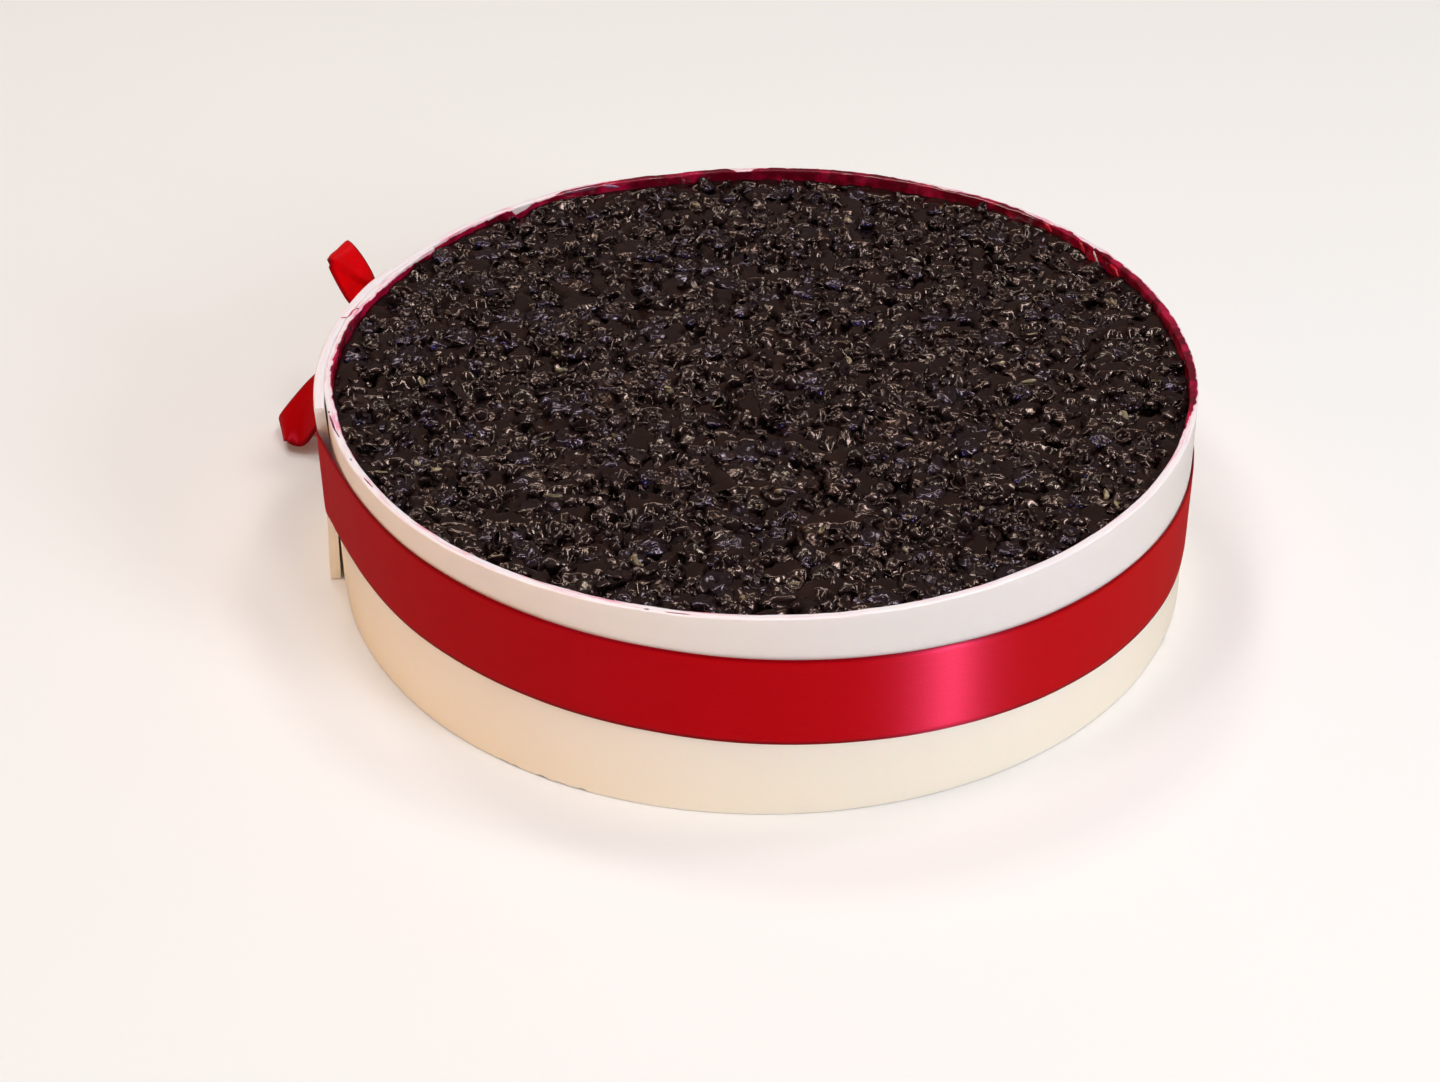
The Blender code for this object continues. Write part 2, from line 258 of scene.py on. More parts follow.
class ToppingSettings(bpy.types.PropertyGroup):
    """Crushed blueberries in jelly"""

    pitch: length_property("Berry spacing", "Distance between neighbouring berries", 6.2 * MM)
    berry_radius: length_property("Berry radius", "Middle radius of a berry", 3.5 * MM)
    pool_level: length_property("Jelly level", "Height of the jelly where it covers the berries", 55.8 * MM)
    gap_level: length_property("Gap level", "Height of the jelly between bare berries", 54.4 * MM)
    pit_depth: length_property("Pit depth", "Depth of the dark gaps below that", 1.7 * MM)
    seed: IntProperty(name="Seed", description="Seed of the berries' places and shapes", default=11)
    jelly: colour_property("Jelly", "Colour of the set jelly", "#20110F")
    skin: colour_property("Skin", "Colour of the berries' skin", "#201314")
    pulp: colour_property("Pulp", "Colour of thin, stained pulp", "#3F2A22")
    # The flesh colour also stands for painted glints on crown lips and skin edges
    flesh: colour_property("Flesh", "Colour of bare flesh and dry skin edges", "#A09274")


class RibbonSettings(bpy.types.PropertyGroup):
    """Satin ribbon and bow"""

    width: length_property("Width", "Width of the ribbon", 25.3 * MM)
    thickness: length_property("Thickness", "Thickness of the ribbon", 0.3 * MM)
    thread: length_property("Thread spacing", "Spacing of the threads that show", 0.35 * MM)
    colour: colour_property("Colour", "Colour of the satin", "#BA0102")
    selvedge: colour_property("Selvedge", "Colour of the woven edges", "#920103")


def add_node(tree, kind, inputs=None, **settings):
    """Adds a node with its settings, and sets or links its inputs by name or place."""
    node = tree.nodes.new(kind)
    for name, value in settings.items():
        setattr(node, name, value)
    for name, value in (inputs or {}).items():
        if isinstance(value, bpy.types.NodeSocket):
            tree.links.new(value, node.inputs[name])
        else:
            node.inputs[name].default_value = value
    return node


def attribute(tree, name):
    """A value stored on the mesh's points."""
    return add_node(tree, "ShaderNodeAttribute", attribute_name=name).outputs["Fac"]


def object_place(tree):
    return add_node(tree, "ShaderNodeTexCoord").outputs["Object"]


def clouds(tree, place, scale, detail, roughness=0.5, output="Fac"):
    """Smooth noise, as a value or as a colour."""
    inputs = {"Vector": place, "Scale": scale, "Detail": detail, "Roughness": roughness}
    return add_node(tree, "ShaderNodeTexNoise", inputs).outputs[output]


def ramp(tree, value, start, end, low=0.0, high=1.0, curve="LINEAR"):
    """A value taken from the range start to end into the range low to high."""
    inputs = {"Value": value, "From Min": start, "From Max": end, "To Min": low, "To Max": high}
    return add_node(tree, "ShaderNodeMapRange", inputs, interpolation_type=curve).outputs[0]


def maths(tree, operation, *values):
    return add_node(tree, "ShaderNodeMath", dict(enumerate(values)), operation=operation).outputs[0]


def mix(tree, factor, first, second, blend_type="MIX"):
    """A mix of two colours, each a node's output or plain RGB."""
    inputs = {"Factor": factor}
    for socket, colour in ((6, first), (7, second)):
        inputs[socket] = colour if isinstance(colour, bpy.types.NodeSocket) else (*colour, 1)
    return add_node(tree, "ShaderNodeMix", inputs, data_type="RGBA", blend_type=blend_type).outputs[2]


def bumps(tree, height, strength, distance, **normal):
    inputs = {"Height": height, "Strength": strength, "Distance": distance, **normal}
    return add_node(tree, "ShaderNodeBump", inputs).outputs[0]


def start_material(name):
    """An empty node material and its tree."""
    material = bpy.data.materials.new(name)
    material.use_nodes = True
    material.node_tree.nodes.clear()
    return material, material.node_tree


def end_material(material, preview, inputs):
    """Adds the surface with its inputs, and sets the colour shown in a plain viewport."""
    tree = material.node_tree
    shader = add_node(tree, "ShaderNodeBsdfPrincipled", inputs)
    add_node(tree, "ShaderNodeOutputMaterial", {"Surface": shader.outputs["BSDF"]})
    material.diffuse_color = (*preview, 1)
    return material


def tempered_white_chocolate(settings):
    """White chocolate set against a clear film: a smooth, satin face with light just inside it.

    Berry juice stains the inner wall and part of the rim, up to a torn edge that the strip's
    own place_mm and juice_mm values set. Towards the foot the chocolate is painted warmer and
    brighter, as bounce light from below.
    """
    material, tree = start_material("tempered_white_chocolate")
    place = object_place(tree)
    height = add_node(tree, "ShaderNodeSeparateXYZ", {0: place}).outputs["Z"]
    # Painted bounce light: the colour grows warmer and brighter towards the foot
    up = ramp(tree, height, 0.002, 0.045, curve="SMOOTHSTEP")
    base = mix(tree, up, settings.foot_colour_painted_bounce, settings.chocolate)
    clouded = mix(tree, 0.06, base, clouds(tree, place, 28, 3, output="Color"), "SOFT_LIGHT")
    across = attribute(tree, "place_mm")
    reach = attribute(tree, "juice_mm")
    torn = maths(tree, "SUBTRACT", clouds(tree, place, 420, 4, 0.6), 0.5)
    torn_reach = maths(tree, "MULTIPLY_ADD", torn, 1.6, reach)
    beyond = maths(tree, "SUBTRACT", torn_reach, across)
    stained = ramp(tree, beyond, -0.06, 0.1)
    blush = ramp(tree, beyond, -0.9, 0.1, high=0.45)
    thicker = maths(tree, "MULTIPLY_ADD", reach, 0.05, clouds(tree, place, 130, 3, 0.55))
    juice = mix(tree, ramp(tree, thicker, 0.4, 0.62), settings.juice, settings.juice_deep)
    run = attribute(tree, "run_mm")
    strip = add_node(tree, "ShaderNodeCombineXYZ", {"X": run, "Y": across}).outputs[0]
    drawn_out = add_node(tree, "ShaderNodeMapping", {"Vector": strip, "Scale": (0.09, 1.5, 1)}).outputs[0]
    smeared = ramp(tree, clouds(tree, drawn_out, 1, 3), 0.5, 0.62)
    near_rim = ramp(tree, beyond, -2.6, -0.2, low=0.12)
    wall_side = ramp(tree, across, 3.2, 2.2)
    streaked = maths(tree, "MULTIPLY", maths(tree, "MULTIPLY", smeared, near_rim), wall_side)
    wash = maths(tree, "MAXIMUM", blush, streaked)
    blushed = mix(tree, wash, clouded, linear("#E87F9C"))
    surface = {
        "Base Color": mix(tree, stained, blushed, juice),
        "Roughness": ramp(tree, stained, 0, 1, 0.42, 0.14),
        "IOR": 1.46,
        "Subsurface Weight": 0.2,
        "Subsurface Radius": (1.0, 0.6, 0.35),
        "Subsurface Scale": 0.002,
        "Normal": bumps(tree, clouds(tree, place, 900, 3), 0.12, 0.0002),
    }
    return end_material(material, settings.chocolate, surface)


def juice_marks_and_painted_sheen(settings):
    """Berry juice dried in thin lines on the chocolate, scratches where it came off again, and pale violet
    lines of painted sheen on the wet juice.
    """
    material, tree = start_material("juice_marks_and_painted_sheen")
    tone = attribute(tree, "tone")
    juice = mix(tree, tone, linear("#C41434"), linear("#4A1848"))
    bare = mix(tree, ramp(tree, tone, 1.4, 1.6), juice, settings.chocolate)
    # Tone 3 turns pale violet: a painted sheen of light on the wet juice
    with_painted_sheen = mix(tree, ramp(tree, tone, 2.4, 2.6), bare, linear("#8E5A80"))
    return end_material(material, settings.juice, {"Base Color": with_painted_sheen, "Roughness": 0.3, "IOR": 1.42})


def set_berry_jelly(settings):
    """Pectin jelly dark with berry juice: wet, smooth and almost black, with soft ripples.

    The fine crumple of skins just under it shows where it lies between the berries, and there it is painted
    near black as shade in the gaps.
    """
    material, tree = start_material("set_berry_jelly")
    place = object_place(tree)
    tint = ramp(tree, clouds(tree, place, 160, 2), 0.5, 0.8, high=0.4)
    colour = mix(tree, tint, settings.jelly, settings.pulp)
    covered = attribute(tree, "covered")
    crumple = maths(tree, "MULTIPLY", clouds(tree, place, 270, 2), ramp(tree, covered, 0, 1, 0.3, 0.13))
    surface = {
        # Painted shade: near black where the jelly lies low between bare berries
        "Base Color": mix(tree, covered, linear("#0C0405"), colour),
        "Roughness": 0.18,
        "IOR": 1.42,
        "Specular Tint": (*linear("#FFE6DE"), 1),
        "Normal": bumps(tree, crumple, 0.8, 0.0011),
    }
    return end_material(material, settings.jelly, surface)


def stewed_berry_skin(settings, name, wrinkle, roughness, glint):
    """Blueberry skin softened in syrup: wet, glossy and wrinkled, purple black, tan where torn; the tan on
    crown lips and skin edges is also a painted glint.
    """
    material, tree = start_material(name)
    place = object_place(tree)
    bruise_and_glint_tone = maths(tree, "MULTIPLY_ADD", clouds(tree, place, 500, 2), 0.5, attribute(tree, "tone"))
    dark = mix(tree, ramp(tree, bruise_and_glint_tone, 0.75, 1.0), settings.skin, settings.pulp)
    # High tones turn the flesh colour: bare flesh, and on crown lips and skin edges also a painted glint
    colour = mix(tree, ramp(tree, bruise_and_glint_tone, 1.08, 1.3), dark, settings.flesh)
    off_crest = maths(tree, "ABSOLUTE", maths(tree, "SUBTRACT", clouds(tree, place, 80, 0), 0.5))
    crest = ramp(tree, off_crest, 0.19, 0.0, curve="SMOOTHSTEP")
    surface = {
        "Base Color": colour,
        "Roughness": roughness,
        "IOR": 1.46,
        "Specular Tint": (*linear(glint), 1),
        "Normal": bumps(tree, crest, wrinkle, 0.001),
    }
    return end_material(material, settings.skin, surface)


def polyester_satin(settings):
    """Woven polyester satin: long smooth threads give one soft band of light across their run."""
    material, tree = start_material("polyester_satin")
    weave = add_node(tree, "ShaderNodeUVMap", uv_map="ribbon").outputs["UV"]
    across = add_node(tree, "ShaderNodeSeparateXYZ", {0: weave}).outputs["Y"]
    wave = {"Vector": weave, "Scale": 0.5 / settings.thread / 3.1, "Distortion": 0.6, "Detail": 2}
    threads = add_node(tree, "ShaderNodeTexWave", wave, bands_direction="Y").outputs["Fac"]
    slubs = add_node(tree, "ShaderNodeMapping", {"Vector": weave, "Scale": (160, 1600, 1)}).outputs[0]
    half = settings.width / 2
    from_middle = maths(tree, "ABSOLUTE", maths(tree, "SUBTRACT", across, half))
    at_edge = ramp(tree, from_middle, half - 0.0010, half - 0.0005)
    colour = mix(tree, at_edge, settings.colour, settings.selvedge)
    woven = bumps(tree, threads, 0.12, 0.0001)
    surface = {
        "Base Color": mix(tree, 0.16, colour, clouds(tree, slubs, 1, 3, output="Color"), "SOFT_LIGHT"),
        "Roughness": 0.45,
        "IOR": 1.58,
        "Anisotropic": 0.95,
        "Anisotropic Rotation": 0.25,
        "Specular Tint": (*linear("#FF4A82"), 1),
        "Normal": bumps(tree, clouds(tree, slubs, 1, 3), 0.25, 0.0001, Normal=woven),
        "Tangent": add_node(tree, "ShaderNodeTangent", direction_type="UV_MAP", uv_map="ribbon").outputs[0],
    }
    return end_material(material, settings.colour, surface)


def baked_sponge():
    """Baked sponge: matt and golden, with an open crumb."""
    material, tree = start_material("baked_sponge")
    place = object_place(tree)
    crumb = add_node(tree, "ShaderNodeTexVoronoi", {"Vector": place, "Scale": 600}).outputs["Distance"]
    colour = mix(tree, crumb, linear("#B98A4E"), linear("#E2BE86"))
    surface = {"Base Color": colour, "Roughness": 0.9, "Normal": bumps(tree, crumb, 0.6, 0.0006)}
    return end_material(material, linear("#D3A76A"), surface)


def matt_paper(settings):
    """Seamless studio paper: pale and matt."""
    material, tree = start_material("matt_paper")
    fibre = bumps(tree, clouds(tree, object_place(tree), 900, 2), 0.05, 0.0001)
    surface = {"Base Color": (*settings.floor_colour, 1), "Roughness": 0.9, "Normal": fibre}
    return end_material(material, settings.floor_colour, surface)


def ease(share):
    share = min(max(share, 0.0), 1.0)
    return share * share * (3 - 2 * share)


def along(table, place):
    """Value at a place in a table of (place, value) pairs, eased between them."""
    if place <= table[0][0]:
        return table[0][1]
    for (low, value_low), (high, value_high) in zip(table, table[1:]):
        if place <= high:
            return value_low + (value_high - value_low) * ease((place - low) / (high - low))
    return table[-1][1]


def blend_points(points, place):
    """Point at place (0 to len-1) on a smooth curve through the points (Catmull-Rom)."""
    last = len(points) - 1
    index = min(int(place), last - 1)
    t = place - index
    before = points[max(index - 1, 0)]
    start = points[index]
    end = points[index + 1]
    after = points[min(index + 2, last)]
    out = []
    for a, b, c, d in zip(before, start, end, after):
        out.append(b + 0.5 * t * (c - a + t * (2 * a - 5 * b + 4 * c - d + t * (3 * (b - c) + d - a))))
    return Vector(out)


def polar(radius, degrees, z):
    angle = math.radians(degrees)
    return Vector((radius * math.cos(angle), radius * math.sin(angle), z))


def strip_thickness(turn, thickness):
    """Thickness of the collar's strip: thin at its feathered end, and thick where the lap lies on it."""
    if turn < FEATHERED_UNTIL:
        share = ease((turn - WRAP_START) / (FEATHERED_UNTIL - WRAP_START))
        return FEATHERED_END * MM + (thickness - FEATHERED_END * MM) * share
    if turn > LAP_START:
        under = (along(COLLAR_RADII, turn) - along(COLLAR_RADII, turn - 360)) * MM - 0.05 * MM
        laid = 1 - SEAM_GAP * ease((turn - SEAM_OPENS) / (SEAM_OPEN - SEAM_OPENS))
        return thickness + max(0, under - thickness) * laid
    return thickness


def wall_radius(thickness):
    """Radius of the collar's inner wall at each whole degree from 0 to 360."""
    radii = []
    for degrees in FULL_TURN:
        first = WRAP_START + (degrees - WRAP_START) % 360
        turns = [turn for turn in (first, first + 360) if turn <= WRAP_END]
        depths = [along(COLLAR_RADII, turn) * MM - strip_thickness(turn, thickness) for turn in turns]
        radii.append(min(depths))
    return np.array(radii)


def make_piece(name, vertices, faces, material, slot, replaces=()):
    """A smooth-shaded mesh object that rides on the cake's body."""
    mesh = bpy.data.meshes.new(name)
    mesh.from_pydata(vertices, [], faces)
    mesh.validate()
    mesh.materials.append(material)
    mesh.shade_smooth()
    piece = bpy.data.objects.new(name, mesh)
    bpy.context.scene.collection.objects.link(piece)
    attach(piece, BODY)
    for lamp in LAMPS:
        if slot in lamp[-1] or name in lamp[-1]:
            bpy.data.collections[lamp[0]].objects.link(piece)
    if replaces:
        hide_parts(*replaces)
    return piece


def store_values(mesh, name, values):
    attribute = mesh.attributes.new(name, "FLOAT", "POINT")
    attribute.data.foreach_set("value", np.asarray(values, np.float32))


def grid_faces(rows, columns, closed=False):
    """Quads over a grid of points stored row by row. A closed grid's rows join up with themselves."""
    size = columns if closed else columns + 1
    faces = []
    for row in range(rows):
        for column in range(columns):
            a = row * size + column
            b = row * size + (column + 1) % size
            faces.append((a, a + size, b + size, b))
    return faces


def turned_over(faces):
    return [(a, d, c, b) for a, b, c, d in faces]


def collar_section(height, thickness, rounding):
    """Points round the strip's section from its inner foot, over the rim, to its outer foot.

    Each is (depth in from the outer face, z, place): place is 0 at the rim's inner edge,
    positive over the rim and down the outer face, and negative down the inner wall.
    """
    shoulder = height - rounding
    wall_heights = [0, 0.4 * shoulder, 0.7 * shoulder]
    wall_heights += list(np.linspace(shoulder - FINE_WALL, shoulder, 18, endpoint=False))
    points = [(thickness, z, z - shoulder) for z in wall_heights]
    arc = rounding * math.pi / 2
    shares = [i / 4 for i in range(5)]
    for share in shares:
        angle = math.pi / 2 * share
        depth = thickness - rounding + rounding * math.cos(angle)
        points.append((depth, shoulder + rounding * math.sin(angle), arc * share))
    flat = thickness - 2 * rounding
    for share in (0.25, 0.5, 0.75):
        points.append((rounding + flat * (1 - share), height, arc + flat * share))
    for share in shares:
        angle = math.pi / 2 * share
        depth = rounding - rounding * math.sin(angle)
        points.append((depth, shoulder + rounding * math.cos(angle), arc + flat + arc * share))
    face = 2 * arc + flat
    for share in np.linspace(1, 0, 24)[1:]:
        z = shoulder * share
        points.append((0, z, face + shoulder - z))
    return points


def squeeze(turn, z):
    """How far the ribbon pulls the strip's loose end in, in metres: most at the ribbon, less at the rim."""
    loose = ease((turn - LOOSE_FROM) / LOOSE_RUN)
    middle = RIBBON_MIDDLE + RIBBON_RISE_LEFT
    belt = math.exp(-(((z - middle) / BELT_REACH) ** 2))
    foot_flare = ease(1 - z / FLARE_HEIGHT)
    return loose * (1.0 * belt - 0.7 * foot_flare) * MM


class CAKE_OT_collar(bpy.types.Operator):
    """Build the white chocolate collar with its juice-stained rim"""

    bl_idname = "cake.collar"
    bl_label = "Chocolate Collar"

    def execute(self, context):
        settings = context.scene.cake_collar
        section = collar_section(settings.height, settings.thickness, settings.rim_round)
        vertices = []
        places = []
        reaches = []
        runs = []
        count = int((WRAP_END - WRAP_START) / WRAP_STEP) + 1
        for index in range(count):
            turn = WRAP_START + index * WRAP_STEP
            outer = along(COLLAR_RADII, turn) * MM
            reach = along(JUICE_REACH, turn)
            swell = strip_thickness(turn, settings.thickness) / settings.thickness
            near_end = max(0, (turn - WRAP_END + END_SLANT_RUN) / END_SLANT_RUN)
            rim_place = polar(outer, turn, 0)
            drop = 0.2 * MM * (1 + math.sin(math.radians(turn * 4)))
            drop += 0.16 * MM * noise.noise(rim_place * 140) + 0.08 * MM * noise.noise(rim_place * 520)
            lift = 0
            for at, wide, high in FOOT_CHIPS:
                off = abs(turn - at) / (wide / 2)
                lift = max(lift, high * MM * ease(1.4 - off) * (0.75 + 0.5 * noise.noise(rim_place * 900)))
            for depth, z, place in section:
                up = z / settings.height
                angle = turn - END_SLANT * near_end * near_end * (1 - up)
                z_now = z - drop * up**3 + lift * ease(1 - z / CHIP_HEIGHT)
                spot = polar(outer, turn, z)
                radius = outer - depth * swell - squeeze(turn, z)
                radius += 0.10 * MM * noise.noise(Vector((spot.x, spot.y, spot.z * 0.3)) * 45)
                wet = ease((reach - place) / 0.6 + 0.5) * ease((place + 7) / 2)
                radius -= wet * 0.35 * MM * max(0, noise.noise(spot * 330) + 0.25) * ease(depth / (0.6 * MM))
                z_now += wet * 0.22 * MM * noise.noise(spot * 300) * ease((place + 1.0) / 1.0)
                vertices.append(polar(radius, angle, z_now))
                places.append(place / MM)
                reaches.append(reach)
                runs.append(math.radians(turn) * outer / MM)
        size = len(section)
        faces = turned_over(grid_faces(count - 1, size, closed=True))
        faces.append(tuple(reversed(range(size))))
        faces.append(tuple(range((count - 1) * size, count * size)))
        material = tempered_white_chocolate(settings)
        piece = make_piece("chocolate_collar", vertices, faces, material, "white_chocolate", ("collar",))
        store_values(piece.data, "place_mm", places)
        store_values(piece.data, "juice_mm", reaches)
        store_values(piece.data, "run_mm", runs)
        piece.data.set_sharp_from_angle(angle=math.radians(60))
        corners = [vertex.co for vertex in piece.data.vertices]
        surface = BVHTree.FromPolygons(corners, [face.vertices for face in piece.data.polygons])
        self.build_marks(settings, surface)
        return {"FINISHED"}

    def build_marks(self, settings, surface):
        """Thin lines of juice and scratches, and pale violet lines of painted sheen, laid on the nearest
        face of the strip.
        """
        vertices = []
        tones = []
        faces = []
        for width, tone, line in RIM_MARKS:
            points = [polar(radius * MM, angle, settings.height - down * MM) for angle, radius, down in line]
            start = len(vertices)
            for step in range(MARK_STEPS + 1):
                place = step / MARK_STEPS * (len(points) - 1)
                point = blend_points(points, place)
                ahead = blend_points(points, min(place + 0.1, len(points) - 1))
                back = blend_points(points, max(place - 0.1, 0))
                spot, normal, _, _ = surface.find_nearest(point)
                side = normal.cross(ahead - back).normalized()
                share = math.sin(math.pi * (0.08 + 0.84 * step / MARK_STEPS))
                half = 0.5 * width * MM * share * (1 + 0.5 * noise.noise(point * 2000))
                for edge in (-1, 1):
                    on_face, out, _, _ = surface.find_nearest(spot + side * half * edge)
                    vertices.append(on_face + out * 0.05 * MM)
                    tones.append(tone)
            for a, b, c, d in turned_over(grid_faces(MARK_STEPS, 1)):
                faces.append((start + a, start + b, start + c, start + d))
        piece = make_piece("rim_marks", vertices, faces, juice_marks_and_painted_sheen(settings), "white_chocolate")
        store_values(piece.data, "tone", tones)
        solidify(piece, 0.04 * MM)


def heap_places(settings, radii, rng):
    """Uneven honeycomb of places for berries inside the collar."""
    pitch = settings.pitch
    row_height = pitch * math.sqrt(3) / 2
    reach = float(radii.max())
    rows = int(reach / row_height) + 1
    columns = int(reach / pitch) + 2
    places = []
    for row in range(-rows, rows + 1):
        for column in range(-columns, columns + 1):
            x = pitch * (column + 0.5 * (row % 2)) + rng.uniform(-0.3, 0.3) * pitch
            y = row_height * row + rng.uniform(-0.3, 0.3) * pitch
            wall = float(np.interp(math.degrees(math.atan2(y, x)) % 360, FULL_TURN, radii))
            if math.hypot(x, y) < wall - CLEAR_OF_WALL:
                places.append((x, y))
    return places


def covered_share(x, y):
    """1 where the jelly lies level over the berries, 0 where they stick out of it."""
    spot = Vector((x, y, 0))
    patch = noise.noise(spot * 140) + 0.6 * noise.noise(spot * 330 + Vector((0, 0, 7)))
    return ease((patch + 0.03) / 0.26)


def from_wall(x, y, radii):
    """Distance in from the collar's wall, and the angle round the cake in degrees."""
    degrees = math.degrees(math.atan2(y, x)) % 360
    return float(radii[round(degrees)]) - math.hypot(x, y), degrees


def edge_rise(x, y, radii):
    """How much higher the topping lies where it is heaped against the wall."""
    gap, degrees = from_wall(x, y, radii)
    if gap > HEAPED_WIDTH:
        return 0
    return along(EDGE_RISE, degrees) * MM * ease(1 - gap / HEAPED_WIDTH)


def jelly_surface(settings, x, y, radii):
    """Height of the jelly at a place, and how far it covers the berries there."""
    spot = Vector((x, y, 0))
    covered = covered_share(x, y)
    bare = (1 - covered) * (1 - 0.85 * ease(1.3 - from_wall(x, y, radii)[0] / (3 * MM)))
    pit = ease((noise.noise(spot * 260 + Vector((0, 0, 3))) + 0.05) / 0.2)
    depth = settings.pool_level - settings.gap_level + pit * settings.pit_depth
    height = settings.pool_level - bare * depth
    rough = 0.5 * noise.noise(spot * 260) + 0.3 * noise.noise(spot * 620)
    height += (rough * (1 - 0.85 * covered) + 0.12 * noise.noise(spot * 90)) * MM
    return height + edge_rise(x, y, radii), covered


class JellyMap:
    """The jelly's height on a square grid, so that it can be read at many places at once."""

    def __init__(self, settings, radii):
        self.reach = float(radii.max())
        self.count = int(2 * self.reach / MAP_STEP) + 2
        line = [index * MAP_STEP - self.reach for index in range(self.count)]
        self.heights = np.array([[jelly_surface(settings, x, y, radii)[0] for y in line] for x in line])

    def cells(self, values):
        return np.clip(np.rint((values + self.reach) / MAP_STEP).astype(int), 0, self.count - 1)

    def at(self, x, y):
        return self.heights[self.cells(x), self.cells(y)]


def sphere_points(count):
    """Evenly spread points on a unit sphere, and the triangles between them."""
    golden = math.pi * (3 - math.sqrt(5))
    bm = bmesh.new()
    for i in range(count):
        z = 1 - 2 * (i + 0.5) / count
        ring = math.sqrt(1 - z * z)
        bm.verts.new((ring * math.cos(golden * i), ring * math.sin(golden * i), z))
    bmesh.ops.convex_hull(bm, input=bm.verts)
    bm.verts.index_update()
    points = [vert.co.copy() for vert in bm.verts]
    faces = np.array([[vert.index for vert in face.verts] for face in bm.faces])
    bm.free()
    return points, faces


def berry_shape(points, seed, dents, folds, dimple):
    """A stewed berry of unit radius, its crown end on +Z: dented, creased and sunk at the crown."""
    shift = Vector((seed * 7.31, seed * 3.17, seed * 5.93))
    shape = []
    for point in points:
        size = 1 + dents * noise.noise(point * 1.3 + shift)
        crease = max(0.0, 1 - abs(noise.noise(point * 1.7 + shift * 1.7)) * 6)
        size -= folds * crease * crease
        size += 0.5 * folds * noise.noise(point * 2.7 + shift)
        tilt = math.acos(max(-1, min(1, point.z)))
        size -= dimple * math.exp(-((tilt / 0.55) ** 2))
        warp = noise.noise_vector(point * 1.1 + shift) * dents * 0.6
        shape.append(list(point * size + warp))
    return np.array(shape)


def crown_shape(seed, spokes):
    """The dried crown left on a berry: a ragged five-lobed cup, about its own radius across."""
    rng = random.Random(seed)
    lobe = [rng.uniform(0.5, 1.2) for _ in range(5)]
    vertices = []
    tones = []
    for radius, height, tone in CROWN_ROWS:
        for spoke in range(spokes):
            spin = 2 * math.pi * spoke / spokes
            share = spoke / spokes * 5
            tall = lobe[int(share) % 5] * abs(math.sin(math.pi * share)) ** 0.7
            grow = 1 + 0.16 * noise.noise(Vector((math.cos(spin), math.sin(spin), seed)) * 1.4)
            lift = height * (0.35 + tall) if height > 0 else height
            flare = radius * grow * (1 + 0.25 * tall * (height > 0))
            vertices.append((flare * math.cos(spin), flare * math.sin(spin), lift))
            tones.append(tone)
    faces = []
    for a, d, c, b in grid_faces(len(CROWN_ROWS) - 1, spokes, closed=True):
        faces += [(a, c, b), (a, d, c)]
    return np.array(vertices), np.array(faces), np.array(tones)


def skin_shape(seed, rings, spokes):
    """A torn, curled piece of skin of unit size: two faces a little apart, and its edge, pale partly as torn
    flesh and partly as a painted glint.

    About one in twenty-five is a scrap of bare flesh, pale all over.
    """
    rng = random.Random(seed)
    bare = rng.random() < 0.04
    reach = rng.uniform(1.0, 2.2)
    stretch = rng.uniform(0.2, 0.6)
    shift = Vector((seed * 2.7, seed * 4.1, seed * 1.3))
    vertices = []
    tones = []
    for thickness in (0.0, 0.13):
        for ring in range(rings + 1):
            for spoke in range(spokes):
                spin = 2 * math.pi * spoke / spokes
                ragged = 1 + 0.5 * noise.noise(Vector((math.cos(spin), math.sin(spin), 0)) * 1.6 + shift)
                tilt = reach * ragged * ring / rings
                radius = 1 - thickness
                across = radius * math.sin(tilt) * math.sin(spin) * stretch
                up = radius * math.cos(tilt) - 0.6
                point = Vector((radius * math.sin(tilt) * math.cos(spin), across, up))
                point += noise.noise_vector(point * 2.4 + shift) * 0.16
                patchy = noise.noise(Vector((math.cos(spin), math.sin(spin), 5)) + shift)
                frayed_and_glint = max(0.0, 0.4 + 1.6 * patchy)
                vertices.append(list(point))
                # The edge takes the pale tone: frayed skin, and partly a painted glint
                tones.append(1.1 + 0.9 * frayed_and_glint if bare else frayed_and_glint * (ring / rings) ** 3)
    side = (rings + 1) * spokes
    faces = []
    for a, d, c, b in grid_faces(rings, spokes, closed=True):
        faces += [(a, d, c), (side + a, side + c, side + d)]
        if a >= spokes:
            faces += [(a, c, b), (side + a, side + b, side + c)]
    for spoke in range(spokes):
        a = rings * spokes + spoke
        b = rings * spokes + (spoke + 1) % spokes
        faces += [(a, side + a, side + b), (a, side + b, b)]
    return np.array(vertices), np.array(faces), np.array(tones)


